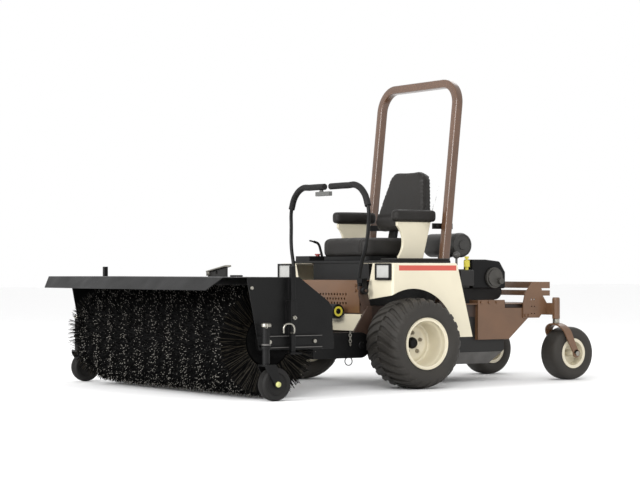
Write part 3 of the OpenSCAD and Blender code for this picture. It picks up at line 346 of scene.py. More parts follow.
# Fenders: cream steel sheet folded from side to top and from side to lamp face, with a cut
# wheel arch and a plain red stripe. Each carries a moulded headlamp in a black frame.
black_plastic = coat("black_plastic", tint(16, 16, 16), 0.5, spread=0.2, relief=0.18, grain=520.0,
                     shine=0.3)
lens = coat("lens", tint(176, 176, 172), 0.12, spread=0.05, cloud=18.0, relief=0.03, gloss=0.7)
cream_striped = cream.copy()
cream_striped.name = "cream_striped"
stripe_tree = cream_striped.node_tree
side_x = 0.605
fender_front = -0.1055
fender_rear = 0.3585
fender_top = 0.720
fender_foot = 0.288
fender_inner = 0.305
arch_y = 0.0425
arch_z = 0.260
arch_r = 0.312
arch_steps = 32


def between(tree, value, low, high):
    """One inside the two limits of a coordinate, nothing outside them."""
    limits = {0: value, 1: (low + high) / 2, 2: (high - low) / 2}
    return added(tree, "Math", limits, operation="COMPARE").outputs[0]


def all_of(tree, one, other):
    """One where both masks are one."""
    return added(tree, "Math", {0: one, 1: other}, operation="MULTIPLY").outputs[0]


stripe_spot = added(stripe_tree, "TexCoord", {}).outputs["Object"]
stripe_axes = added(stripe_tree, "SeparateXYZ", {"Vector": stripe_spot}).outputs
stripe_reach = added(stripe_tree, "Math", {0: stripe_axes["X"]}, operation="ABSOLUTE").outputs[0]
stripe_high = between(stripe_tree, stripe_axes["Z"], 0.676, 0.706)
stripe_long = between(stripe_tree, stripe_axes["Y"], -0.060, 0.354)
stripe_out = between(stripe_tree, stripe_reach, side_x - 0.002, side_x + 0.002)
stripe_mask = all_of(stripe_tree, all_of(stripe_tree, stripe_high, stripe_long), stripe_out)
paint_over(cream_striped, stripe_mask, tint(186, 76, 62))


def fender(name, side):
    """One sheet of three faces round a corner, its folds rounded, then given its thickness."""
    shape = bmesh.new()
    start = math.asin((fender_foot - arch_z) / arch_r)
    stop = math.pi - math.acos((arch_y - fender_front) / arch_r)
    swings = [start + (stop - start) * step / arch_steps for step in range(arch_steps + 1)]
    corner = shape.verts.new((side_x, fender_front, fender_top))
    rear_top = shape.verts.new((side_x, fender_rear, fender_top))
    rear_foot = shape.verts.new((side_x, 0.4735, fender_foot))
    lamp_top = shape.verts.new((0.410, fender_front, fender_top))
    lamp_foot = shape.verts.new((0.342, fender_front, 0.506))
    inner_front = shape.verts.new((fender_inner, fender_front, fender_top))
    inner_rear = shape.verts.new((fender_inner, fender_rear, fender_top))
    arch = [shape.verts.new((side_x, arch_y + arch_r * math.cos(s), arch_z + arch_r * math.sin(s)))
            for s in swings]
    shape.faces.new([corner, rear_top, rear_foot] + arch)
    shape.faces.new([corner, arch[-1], lamp_foot, lamp_top])
    shape.faces.new([corner, lamp_top, inner_front, inner_rear, rear_top])
    rounded(shape, 0.016, 5, [e for e in shape.edges if len(e.link_faces) == 2])
    bmesh.ops.recalc_face_normals(shape, faces=shape.faces)
    if side < 0:
        bmesh.ops.scale(shape, vec=(-1, 1, 1), verts=shape.verts)
        bmesh.ops.reverse_faces(shape, faces=shape.faces)
    piece = put_on(name + "_sheet", shape, cream_striped, "tractor", name, sharp=40)
    wall = piece.modifiers.new("wall", "SOLIDIFY")
    wall.thickness = 0.005
    wall.offset = -1
    level = piece.modifiers.new("level", "WEIGHTED_NORMAL")
    level.weight = 100
    level.keep_sharp = True


fender("fender_left", 1)
fender("fender_right", -1)
eased("lamp_bezels", black_plastic, 0.003)
eased("lamp_lenses", lens, 0.004, 3)
bezel_low, bezel_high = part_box("lamp_bezels")
lamp_w = 0.150
lamp_h = bezel_high[2] - bezel_low[2]
near_edge = 0.014
far_edge = near_edge * 0.7
trim = bmesh.new()
for sign in (-1, 1):
    for left, right, foot, head in ((0, lamp_w, 0, near_edge), (0, near_edge, 0, lamp_h),
                                    (0, lamp_w, lamp_h - far_edge, lamp_h),
                                    (lamp_w - far_edge, lamp_w, 0, lamp_h)):
        place = (sign * (bezel_high[0] - (left + right) / 2), bezel_low[1] - 0.0005,
                 bezel_low[2] + (foot + head) / 2)
        block(trim, place, (right - left, 0.004, head - foot))
rounded(trim, 0.0012, 2)
put_on("lamp_trims", trim, black_plastic, "tractor")

# Roll bar: one square steel tube with rounded corners, bent twice, brown like the frame but painted
# darker as painted shade.
# It leans back and stands on the frame's outriggers, with a black clamp on each leg.
bar_brown_painted_shade = coat("bar_brown_painted_shade", tint(84, 59, 42), 0.3, spread=0.08, gloss=0.5, slot="brown_paint")
tube_half = 0.025
bar_half = 0.386
bar_y = 0.4025
bar_z = 0.490
bar_top = 1.830
bar_lean = math.radians(6.2)
bend = 0.135
buried = 0.030
leg = (bar_top - bar_z) / math.cos(bar_lean) - bend - tube_half
clamp_z = 0.941
clamp_y = bar_y + (clamp_z - bar_z) * math.tan(bar_lean)


def drawn_out(shape, geom, step):
    """Runs the open end of a tube straight on and returns its new end."""
    rim = [e for e in geom if isinstance(e, bmesh.types.BMEdge)]
    new = bmesh.ops.extrude_edge_only(shape, edges=rim)["geom"]
    moved = corners(new)
    bmesh.ops.translate(shape, vec=step, verts=moved)
    ends = set(moved)
    edges = [e for e in new if isinstance(e, bmesh.types.BMEdge)]
    return [e for e in edges if ends.issuperset(e.verts)] + moved


def rod(shape, sides, radius, depth, place, taper=1.0, swing=Matrix()):
    """Adds a short rod along the X axis, perhaps swung round the origin."""
    at = swing @ Matrix.Translation(place) @ Matrix.Rotation(math.pi / 2, 4, "Y")
    bmesh.ops.create_cone(shape, cap_ends=True, segments=sides, radius1=radius,
                          radius2=radius * taper, depth=depth, matrix=at)


roll_bar = bmesh.new()
bmesh.ops.create_grid(roll_bar, x_segments=1, y_segments=1, size=tube_half)
bmesh.ops.delete(roll_bar, geom=roll_bar.faces[:], context="FACES_ONLY")
bmesh.ops.bevel(roll_bar, geom=roll_bar.verts, offset=0.008, segments=4, profile=0.5,
                affect="VERTICES", material=-1)
bmesh.ops.translate(roll_bar, vec=(bar_half, 0, -buried), verts=roll_bar.verts)
end = drawn_out(roll_bar, whole(roll_bar), (0, 0, leg + buried))
for hinge_x, run in ((bar_half - bend, (-2 * (bar_half - bend), 0, 0)),
                     (bend - bar_half, (0, 0, -leg - buried))):
    end = bmesh.ops.spin(roll_bar, geom=end, cent=(hinge_x, 0, leg), axis=(0, -1, 0),
                         angle=math.pi / 2, steps=14)["geom_last"]
    end = drawn_out(roll_bar, end, run)
bmesh.ops.rotate(roll_bar, cent=(0, 0, 0), matrix=Matrix.Rotation(-bar_lean, 3, "X"),
                 verts=roll_bar.verts)
bmesh.ops.translate(roll_bar, vec=(0, bar_y, bar_z), verts=roll_bar.verts)
bmesh.ops.bisect_plane(roll_bar, geom=whole(roll_bar), plane_co=(0, 0, bar_z + 0.0005),
                       plane_no=(0, 0, -1), clear_outer=True)
bmesh.ops.recalc_face_normals(roll_bar, faces=roll_bar.faces)
put_on("rops_tube", roll_bar, bar_brown_painted_shade, "tractor", "rops")
clamp = bmesh.new()
block(clamp, (0.3560, clamp_y - 0.010, clamp_z), (0.009, 0.150, 0.034))
for y in (clamp_y - 0.060, clamp_y + 0.045):
    rod(clamp, 6, 0.009, 0.016, (0.3665, y, clamp_z))
rounded(clamp, 0.001, 1)
both_sides(clamp)
put_on("rops_clamps", clamp, black_paint, "tractor")

# Seat platform and controls: a black steel box with a moulded deck, cream armrest supports,
# the control console with the red button of the brush drive, and a vinyl mat on the left.
red = coat("red_plastic", tint(128, 26, 24), 0.3, spread=0.06, relief=0.03, gloss=0.4)
vinyl = coat("vinyl", tint(32, 30, 28), 0.5, spread=0.14, cloud=9.0, relief=0.35, grain=420.0,
             shine=0.25)
eased("seat_platform", black_plastic, 0.003)
eased("armrest_supports", cream, 0.004, 3)
eased("console", black_plastic, 0.004, 3)
dress(red, "pto_button")
deck_mat = bmesh.new()
block(deck_mat, (0.418, 0.1925, 0.7415), (0.156, 0.390, 0.013))
rounded(deck_mat, 0.005, 3)
put_on("deck_mat", deck_mat, vinyl, "tractor")

# Seat: vinyl covers sewn over foam. The cushion has two seams along it, the back a seam
# round its edge and a crease across its foot. The arm pads are small covers of the same kind.
seat_y = 0.1545
lean_back = Matrix.Translation((0, 0.417, 0.8273)) @ Matrix.Rotation(math.radians(78), 4, "X")
cushion_seam = 0.178
back_seam = 0.030
back_crease = 0.165
blow_frames = 20
smooth_rounds = 6


def placed(shape, matrix):
    """Moves a finished shape to its place, which may mirror it."""
    bmesh.ops.transform(shape, matrix=matrix, verts=shape.verts)
    bmesh.ops.recalc_face_normals(shape, faces=shape.faces)


def sharp_rims(shape):
    """The edges of a shape where two faces meet about square."""
    return [e for e in shape.edges if len(e.link_faces) == 2 and e.calc_face_angle(0) > 1.2]


def foam_block(size, place, corner, rim, taper=0.0, bend_share=0.5):
    """Foam cut to size, narrowed towards one end, with round corners in plan and a soft rim."""
    shape = bmesh.new()
    bmesh.ops.create_cube(shape, size=1)
    bmesh.ops.scale(shape, vec=size, verts=shape.verts)
    if taper:
        bend_line = (0, (bend_share - 0.5) * size[1], 0)
        bmesh.ops.bisect_plane(shape, geom=whole(shape), plane_co=bend_line, plane_no=(0, 1, 0))
        top = [v for v in shape.verts if v.co.y > 0.4 * size[1]]
        bmesh.ops.scale(shape, vec=(1 - taper, 1, 1), verts=top)
    upright = [e for e in shape.edges if abs(e.verts[0].co.z - e.verts[1].co.z) > 0.5 * size[2]]
    rounded(shape, corner, 6, upright)
    rounded(shape, rim, 5, sharp_rims(shape))
    placed(shape, place)
    return shape


def stuffed(name, shape, cap, weave=0.006):
    """A padded cover: the foam's form remeshed evenly and blown up by a short cloth run."""
    mesh = bpy.data.meshes.new(name)
    shape.to_mesh(mesh)
    shape.free()
    pad = bpy.data.objects.new(name, mesh)
    bpy.context.collection.objects.link(pad)
    even = pad.modifiers.new("even", "REMESH")
    even.mode = "VOXEL"
    even.voxel_size = weave
    bpy.context.view_layer.update()
    evened = pad.evaluated_get(bpy.context.evaluated_depsgraph_get())
    pad.data = bpy.data.meshes.new_from_object(evened)
    pad.modifiers.clear()
    rest = [v.co.copy() for v in pad.data.vertices]
    filling = pad.modifiers.new("filling", "CLOTH")
    filling.settings.use_pressure = True
    filling.settings.uniform_pressure_force = 4
    filling.settings.effector_weights.gravity = 0
    filling.point_cache.frame_start = 1
    filling.point_cache.frame_end = blow_frames
    for moment in range(1, blow_frames + 1):
        bpy.context.scene.frame_set(moment)
    blown = pad.evaluated_get(bpy.context.evaluated_depsgraph_get()).data
    moved = [v.co.copy() for v in blown.vertices]
    pad.modifiers.clear()
    bpy.context.scene.frame_set(1)
    for vert, old, new in zip(pad.data.vertices, rest, moved):
        swell = new - old
        vert.co = old + swell * min(1, cap / max(swell.length, 1e-6))
    cover = bmesh.new()
    cover.from_mesh(pad.data)
    bpy.data.objects.remove(pad)
    for _ in range(smooth_rounds):
        bmesh.ops.smooth_vert(cover, verts=cover.verts, factor=0.5, use_axis_x=True,
                              use_axis_y=True, use_axis_z=True)
    return cover


def sewn(cover, distance, width=0.006, depth=0.004):
    """Draws the cover in along a seam, given by the distance of a point from it."""
    cover.normal_update()
    for vert in cover.verts:
        vert.co -= vert.normal * depth * math.exp(-(distance(vert.co, vert.normal) / width) ** 2)


def cover_up(name, cover, body, node):
    pad = put_on(name, cover, vinyl, body, node, sharp=80)
    soft = pad.modifiers.new("soft", "SUBSURF")
    soft.levels = 1
    soft.render_levels = 1


cushion_place = Matrix.Translation((0, seat_y, 0.8113))
cushion_form = foam_block((0.494, 0.394, 0.106), cushion_place, 0.060, 0.026)
cushion = stuffed("cushion_form", cushion_form, 0.008, 0.007)
sewn(cushion, lambda co, normal: abs(abs(co.x) - cushion_seam) if normal.z > -0.3 else 1)
cover_up("seat_cushion_cover", cushion, "seat", "seat_cushion")
back_place = lean_back @ Matrix.Translation((0, 0.266, 0.0375))
back_form = foam_block((0.502, 0.378, 0.062), back_place, 0.060, 0.022, taper=0.34, bend_share=0.22)
back = stuffed("back_form", back_form, 0.008, 0.005)
upright_back = lean_back.inverted()
sewn(back, lambda co, normal: abs((upright_back @ co).z - back_seam), 0.008, 0.0022)
sewn(back, lambda co, normal: abs((upright_back @ co).y - back_crease) if normal.y < -0.5 else 1,
     0.012, 0.0025)
cover_up("seat_back_cover", back, "seat", "seat_back")
back_bracket = bmesh.new()
for x in (-0.09, 0.09):
    block(back_bracket, lean_back @ Vector((x, 0.050, 0.030)), (0.07, 0.098, 0.022),
          lean_back.to_3x3().to_4x4())
rounded(back_bracket, 0.003, 2)
put_on("seat_back_bracket", back_bracket, black_paint, "seat")
seat_pan = bmesh.new()
block(seat_pan, (0, seat_y, 0.7485), (0.47, 0.37, 0.023))
lids = [f for f in seat_pan.faces if abs(f.normal.z) > 0.9]
bmesh.ops.delete(seat_pan, geom=lids, context="FACES_ONLY")
rounded(seat_pan, 0.04, 5,
        [e for e in seat_pan.edges if abs(e.verts[0].co.z - e.verts[1].co.z) > 0.01])
bmesh.ops.solidify(seat_pan, geom=seat_pan.faces[:], thickness=0.004)
put_on("seat_pan_rim", seat_pan, black_paint, "seat")
for sign, side in ((1, "left"), (-1, "right")):
    arm_place = Matrix.Translation((sign * 0.310, 0.2625, 1.0010))
    arm_form = foam_block((0.066, 0.306, 0.070), arm_place, 0.026, 0.020)
    arm_cover = stuffed("arm_form", arm_form, 0.004, 0.005)
    cover_up("armrest_pad_" + side, arm_cover, "tractor", "armrest_pads")

# Engine: a dark crankcase with a sheet metal blower housing, valve covers, a cast round
# cover, a canister air cleaner with a breather beside it, and a steel muffler behind.
cast_cover = coat("cast_cover", tint(66, 64, 60), 0.45, spread=0.14, cloud=24.0, metal=0.3,
                  relief=0.25, grain=240.0, slot="dark_metal")
cleaner_plastic = coat("cleaner_plastic", tint(56, 55, 53), 0.5, spread=0.18, relief=0.2,
                       grain=420.0, shine=0.35, slot="black_plastic")
cleaner_y = 0.7235
breather_x = 0.250
breather_y = 0.6290
dress(dark_metal, "engine_block", "wheel_motors")
dress(yellow, "oil_cap")
eased("engine_shroud", black_paint, 0.010, 3)
eased("valve_covers", dark_metal, 0.007, 3)
eased("round_cover", cast_cover, 0.004, 3)
# The muffler takes dark metal as painted shade for the dark space behind the engine.
eased("muffler", dark_metal, 0.003, cuts=[((0.06, 0, 0), (1, 0, 0))])
cleaner = turned([(0, -0.14), (0.052, -0.14), (0.067, -0.132), (0.0725, -0.120), (0.0725, 0.038),
                  (0.0765, 0.040), (0.0765, 0.056), (0.0725, 0.058), (0.0725, 0.142),
                  (0.0755, 0.145), (0.0755, 0.172), (0.072, 0.178), (0.069, 0.190), (0.060, 0.194),
                  (0.058, 0.190), (0.030, 0.190), (0.028, 0.196), (0, 0.198)],
                 (0, cleaner_y, 0.832))
block(cleaner, (0, cleaner_y, 0.736), (0.06, 0.05, 0.192))
put_on("air_cleaner_can", cleaner, cleaner_plastic, "tractor", "air_cleaner")
breather = bmesh.new()
bmesh.ops.create_uvsphere(breather, u_segments=28, v_segments=16, radius=0.0225,
                          matrix=Matrix.Translation((breather_x, breather_y, 0.7700)))
bmesh.ops.create_cone(breather, cap_ends=True, segments=20, radius1=0.007, radius2=0.007,
                      depth=0.090, matrix=Matrix.Translation((breather_x, breather_y, 0.7150)))
put_on("engine_breather", breather, pale_steel_and_painted_light, "tractor")

# Drive wheels: wide lugged tyres on deep cream rims, bolted to black hubs on the motor
# shafts. The tread is two rows of slanted bars that meet along the middle.
rubber = coat("tyre_rubber", tint(46, 43, 39), 0.6, spread=0.14, cloud=10.0, relief=0.25,
              grain=260.0, shine=0.35, scuff=tint(66, 61, 52), scuff_share=0.34)
nut_steel = coat("nut_steel", tint(128, 120, 102), 0.45, spread=0.2, slot="zinc")
tread_bars = 26
tread_half = 0.15
bar_start = 0.002
bar_reach = 0.146
bar_sweep = 0.27
bar_width = 0.160
bar_flare = 0.040
bar_height = 0.0118
bar_fade = 0.0038
bar_root = -0.004
row_shift = 0.12
stud_ring = 0.0575
disc_x = 0.590
rim_lip = [(0.149, 0.130), (0.149, 0.1335), (0.147, 0.136), (0.1445, 0.1345), (0.142, 0.129),
           (0.139, 0.121), (0.134, 0.114), (0.131, 0.103), (0.1275, 0.096), (0.125, 0.088)]
rim_half = rim_lip + [(0.1235, 0.040), (0.122, 0.0), (0.118, -0.010), (0.108, -0.013),
                      (0.100, -0.008), (0.078, -0.008), (0.070, -0.015), (0.0305, -0.015),
                      (0.0305, -0.021)]
rim_back = [(0.118, 0.021), (0.1235, 0.030)] + rim_lip[::-1] + [(0.1305, 0.1285), (0.1305, -0.1285)]


def middle(node):
    """The middle of a CAD piece's box."""
    low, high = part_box(node)
    return (Vector(low) + Vector(high)) / 2


def crown(u, foot, rise, half, square):
    """Radius of a tyre at u from its middle, between a round and a square shoulder."""
    return foot + rise * (1 - min(abs(u) / half, 1) ** square) ** (1 / square)


def drive_crown(u):
    """Radius of the drive tyre's carcass at u from its middle."""
    return crown(u, 0.190, 0.058, tread_half, 3.2)


def to_shoulder(reach, steps):
    """Distances from a tyre's middle, closer together towards its shoulder."""
    return [reach * math.sin(math.pi / 2 * k / steps) for k in range(steps + 1)]


def flipped(profile):
    """An outline seen from the other side of the wheel."""
    return [(r, -u) for r, u in profile]


def strip(cuts):
    """A unit bar along X, cut across so that it can be bent."""
    shape = bmesh.new()
    bmesh.ops.create_cube(shape, size=1)
    long_edges = [e for e in shape.edges if abs(e.verts[0].co.x - e.verts[1].co.x) > 0.5]
    bmesh.ops.subdivide_edges(shape, edges=long_edges, cuts=cuts, use_grid_fill=True)
    return shape


def spun_round(shape, count, centre):
    """Copies a shape round the X axis through centre, count times in all."""
    bmesh.ops.spin(shape, geom=whole(shape), cent=centre, axis=(1, 0, 0),
                   angle=2 * math.pi * (count - 1) / count, steps=count - 1, use_duplicate=True)


def join(shape, other):
    """Adds a finished shape to another."""
    held = bpy.data.meshes.new("joined")
    other.to_mesh(held)
    other.free()
    shape.from_mesh(held)
    bpy.data.meshes.remove(held)


def drive_tyre(side, body):
    """Turned carcass with one tread bar for each row, copied round."""
    name = "drive_tyre_" + side
    centre = middle(name)
    outer = [(0.131, 0.128), (0.150, 0.1298), (0.160, 0.136), (0.172, 0.1465)]
    outer += [(drive_crown(u), u) for u in reversed(to_shoulder(0.1495, 14))]
    wall = [(0.240, 0), (0.236, 0.08), (0.214, 0.134), (0.172, 0.132), (0.150, 0.116),
            (0.131, 0.116)]
    carcass = outer + flipped(outer[-2::-1]) + flipped(wall[:0:-1]) + wall + outer[:1]
    shape = turned(carcass, centre, 104)
    for row in (-1, 1):
        bar = strip(7)
        for vert in bar.verts:
            run = vert.co.x + 0.5
            u = bar_start + bar_reach * run
            width = (bar_width + bar_flare * run) * (0.7 if vert.co.z > 0 else 1)
            swing = bar_sweep * run ** 1.5 + width * vert.co.y + (row_shift if row > 0 else 0)
            r = drive_crown(u) + (bar_height - bar_fade * run ** 2 if vert.co.z > 0 else bar_root)
            vert.co = centre + Vector((row * u, -r * math.sin(swing), r * math.cos(swing)))
        spun_round(bar, tread_bars, centre)
        bmesh.ops.recalc_face_normals(bar, faces=bar.faces)
        join(shape, bar)
    piece = put_on(name + "_rubber", shape, rubber, body, name, sharp=40)
    ground_off(piece, 0.003, 2, 45)


for side in ("left", "right"):
    wheel_body = "drive_wheel_" + side
    drive_tyre(side, wheel_body)
    rim_middle = middle("drive_rim_" + side)
    outward = Matrix.Diagonal((math.copysign(1, rim_middle.x), 1, 1, 1))
    rim = turned(rim_half + flipped(rim_back) + rim_half[:1], (0, 0, 0), 96)
    placed(rim, Matrix.Translation(rim_middle) @ outward)
    put_on("drive_rim_steel_" + side, rim, cream, wheel_body, "drive_rim_" + side, sharp=45)
    axle = middle("drive_hub_" + side)
    disc_face = disc_x - abs(axle.x)
    hub = turned([(0, 0.022), (0.014, 0.0218), (0.024, 0.0195), (0.0295, 0.013),
                  (0.0335, disc_face + 0.0005), (0.029, disc_face), (0.029, -0.0075),
                  (0.075, -0.0075), (0.075, -0.0225), (0, -0.0225)], (0, 0, 0), 48)
    nuts = bmesh.new()
    for nut in range(5):
        swing = Matrix.Rotation(2 * math.pi * nut / 5, 4, "X")
        for size, start, depth in ((0.0125, 0, 0.011), (0.006, 0.010, 0.010)):
            rod(nuts, 6, size, depth, (disc_face + start + depth / 2, 0, stud_ring), 0.94, swing)
    for shape in (hub, nuts):
        placed(shape, Matrix.Translation(axle) @ outward)
    put_on("drive_hub_cap_" + side, hub, black_paint, wheel_body, "drive_hub_" + side)
    put_on("drive_nuts_" + side, nuts, nut_steel, wheel_body, sharp=20)

# Tail casters: smooth tyres on small cream rims, in brown forks bent from flat bar. Each fork
# turns on a plated spindle in the tail frame and holds its wheel on a plated axle.
zinc = coat("zinc", tint(150, 147, 138), 0.3, spread=0.16, cloud=30.0, metal=0.9, relief=0.05)
fork_trail = 0.086
fork_plate = 0.010
fork_half = 0.090
fork_shoulder = 0.286
fork_top = 0.346
fork_wide = 0.062
fork_taper = 0.016
fork_eye = 0.026
spindle_z = 0.352
for side in ("left", "right"):
    name = "tail_tyre_" + side
    centre = middle(name)
    outer = [(0.0785, 0.060), (0.090, 0.0608), (0.096, 0.067), (0.104, 0.0725)]
    outer += [(crown(u, 0.112, 0.052, 0.075, 3.6), u) for u in reversed(to_shoulder(0.0748, 12))]
    inner = [(0.0785, -0.052), (0.150, -0.02), (0.150, 0.02), (0.0785, 0.052)]
    tyre = turned(outer + flipped(outer[-2::-1]) + inner + outer[:1], centre, 80)
    put_on(name + "_rubber", tyre, rubber, "tail_wheel_" + side, name, sharp=50)
    eased("tail_rim_" + side, cream, 0.003, 3)
    spindle_y = centre.y - fork_trail
    fork_rise = fork_top - fork_shoulder
    route = [(fork_half * math.sin(t), fork_shoulder + fork_rise * math.cos(t))
             for t in [math.pi / 2 * k / 10 for k in range(11)]]
    route += [(fork_half, fork_shoulder + (centre.z - fork_shoulder) * k / 6) for k in range(1, 7)]
    route = [(-u, z) for u, z in route[:0:-1]] + route
    last = len(route) - 1
    fork = strip(last - 1)
    for vert in fork.verts:
        k = round((vert.co.x + 0.5) * last)
        u, z = route[k]
        u0, z0 = route[max(k - 1, 0)]
        u1, z1 = route[min(k + 1, last)]
        fall = max(0, fork_top - z) / (fork_top - centre.z)
        thick = Vector((z0 - z1, 0, u1 - u0)).normalized() * fork_plate
        wide = Vector((0, fork_wide - fork_taper * fall, 0))
        line = Vector((centre.x + u, spindle_y + fork_trail * fall ** 1.2, z))
        vert.co = line + wide * vert.co.y + thick * vert.co.z
    for u in (-fork_half, fork_half):
        rod(fork, 32, fork_eye, fork_plate, (centre.x + u, centre.y, centre.z))
    bmesh.ops.recalc_face_normals(fork, faces=fork.faces)
    fork_node = "tail_fork_" + side
    fork_body = nodes[fork_node]["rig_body"]
    fork_piece = put_on("tail_fork_arch_" + side, fork, brown, fork_body, fork_node, sharp=40)
    ground_off(fork_piece, 0.002, 2, 60)
    spindle = turned([(0, -0.006), (0.019, -0.006), (0.0215, 0), (0.0215, 0.024), (0.0142, 0.026),
                      (0.0142, 0.140), (0, 0.140)], (0, 0, 0), 36)
    placed(spindle, Matrix.Translation((centre.x, spindle_y, spindle_z))
           @ Matrix.Rotation(-math.pi / 2, 4, "Y"))
    for sides, radius, start, stop in ((28, 0.0079, 0, 0.100), (6, 0.0160, 0.095, 0.104)):
        for way in (-1, 1):
            rod(spindle, sides, radius, stop - start,
                (centre.x + way * (start + stop) / 2, centre.y, centre.z))
    put_on("tail_axle_" + side, spindle, zinc, fork_body)

# Levers: bent black steering tubes that reach over the lap, with thick foam grips and a flat
# switch box under the right grip, and the smaller bent lever of the console.
foam = coat("foam_grip", tint(22, 21, 21), 0.7, spread=0.15, relief=0.4, grain=700.0, shine=0.3,
            slot="black_paint")
grey_plastic = coat("grey_plastic", tint(88, 88, 86), 0.45, spread=0.08, relief=0.15, grain=500.0)
lever_y = -0.1575
hand_y = -0.1375
hub_bore = 0.0081
throttle_x = -0.422


def pipe(points, radius, sides=6):
    """The mesh of a round tube bent smoothly through points, with closed ends."""
    line = bpy.data.curves.new("pipe", "CURVE")
    line.dimensions = "3D"
    line.bevel_depth = radius
    line.bevel_resolution = sides
    line.resolution_u = 10
    line.use_fill_caps = True
    route = line.splines.new("BEZIER")
    route.bezier_points.add(len(points) - 1)
    for knot, point in zip(route.bezier_points, points):
        knot.co = point
        knot.handle_left_type = "AUTO"
        knot.handle_right_type = "AUTO"
    holder = bpy.data.objects.new("pipe", line)
    bpy.context.collection.objects.link(holder)
    bpy.context.view_layer.update()
    shown = holder.evaluated_get(bpy.context.evaluated_depsgraph_get())
    mesh = bpy.data.meshes.new_from_object(shown)
    bpy.data.objects.remove(holder)
    return mesh


for side, sign, tip in (("left", 1, 0.022), ("right", -1, 0.043)):
    tube = bmesh.new()
    stem = [(0.347, lever_y, 0.566), (0.348, lever_y, 0.640), (0.362, -0.1535, 0.710),
            (0.398, -0.1455, 0.820), (0.412, hand_y, 0.940), (0.408, hand_y, 1.050),
            (0.372, hand_y, 1.118)]
    tube.from_mesh(pipe([(sign * x, y, z) for x, y, z in stem], 0.0110))
    for x, z, wide, tall in ((0.375, 0.618, 0.062, 0.028), (0.402, 0.594, 0.008, 0.068)):
        block(tube, (sign * x, lever_y, z), (wide, 0.028, tall))
    join(tube, turned([(hub_bore, -0.013), (0.020, -0.013), (0.022, -0.011), (0.022, 0.011),
                       (0.020, 0.013), (hub_bore, 0.013), (hub_bore, -0.013)],
                      (sign * 0.400, lever_y, 0.560), 40))
    put_on("steer_lever_tube_" + side, tube, black_paint, "lever_" + side, "steer_lever_" + side)
    grip = bmesh.new()
    hold = [(0.408, hand_y, 1.052), (0.372, hand_y, 1.122), (0.290, hand_y, 1.174),
            (0.200, hand_y, 1.177), (tip, hand_y, 1.177)]
    grip.from_mesh(pipe([(sign * x, y, z) for x, y, z in hold], 0.019, 8))
    rounded(grip, 0.007, 3, sharp_rims(grip))
    put_on("steer_grip_" + side, grip, foam, "lever_" + side)
eased("thumb_switch", grey_plastic, 0.003, 3)
throttle = bmesh.new()
throttle_stem = [(throttle_x, 0.0995, 0.753), (throttle_x, 0.0860, 0.800),
                 (throttle_x, 0.0675, 0.842), (throttle_x, 0.0360, 0.855)]
throttle.from_mesh(pipe(throttle_stem, 0.008))
rod(throttle, 32, 0.009, 0.018, throttle_stem[0])
hand = block(throttle, (throttle_x, 0.0310, 0.8555), (0.020, 0.054, 0.009),
             Matrix.Rotation(math.radians(-12), 4, "X"))
rounded(throttle, 0.004, 3, list({e for v in hand for e in v.link_edges}))
put_on("console_lever_stem", throttle, black_plastic, "console_lever", "console_lever")

# Lift and swing frames: black welded plate and tube that carry the head on the tractor and
# let it swing on one upright pin, with a short chain and a ring hung from the left arm.
lift_body = nodes["lift_frame"]["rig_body"]
swing_pin = (0, -0.6825)
swing_pin_r = 0.0255
beam_end = 0.93


def slimmed(piece, axis, radius, share=0.95):
    """Takes a little off an upright pin, so that its flats never cut the bore it turns in."""
    for vert in piece.data.vertices:
        out = Vector((vert.co.x - axis[0], vert.co.y - axis[1]))
        if out.length < radius:
            vert.co.x = axis[0] + out.x * share
            vert.co.y = axis[1] + out.y * share


def round_trip(steps):
    """The angles of one full turn, back to its start."""
    return [2 * math.pi * k / steps for k in range(steps + 1)]


slimmed(eased("lift_frame", black_paint, 0.003), swing_pin, swing_pin_r)
pin_caps = turned([(0, 0.453), (0.017, 0.4525), (0.020, 0.450), (0.020, 0.4462), (0, 0.4462)],
                  (0, -0.2125, 0.248), 32)
both_sides(pin_caps)
put_on("lift_pin_caps", pin_caps, black_paint, "tractor")
chain = bmesh.new()
for link in range(5):
    link_z = 0.322 - 0.0165 * link
    out, along = (0, 0.008) if link % 2 else (0.005, 0)
    loop = [(0.4530 + out * math.cos(t), -0.294 + along * math.cos(t),
             link_z + 0.0105 * math.sin(t)) for t in round_trip(8)]
    chain.from_mesh(pipe(loop, 0.0024, 2))
put_on("lift_chain", chain, zinc, lift_body)
hoop = bmesh.new()
loop = [(0.430 + 0.006 * math.cos(t), -0.290 + 0.021 * math.cos(t), 0.157 + 0.023 * math.sin(t))
        for t in round_trip(12)]
hoop.from_mesh(pipe(loop, 0.003, 3))
put_on("lift_ring", hoop, black_paint, lift_body)
# The cross bar takes the darker frame brown: painted shade.
cross_bar = bmesh.new()
block(cross_bar, (0, -0.122, 0.300), (0.72, 0.020, 0.070))
rounded(cross_bar, 0.003, 2)
put_on("front_cross_bar", cross_bar, brown_painted_shade, "tractor")
beam_cuts = [((x, 0, 0), (x, 0, 0)) for x in (-beam_end, beam_end)]
eased("swing_frame", black_paint, 0.003, cuts=beam_cuts)

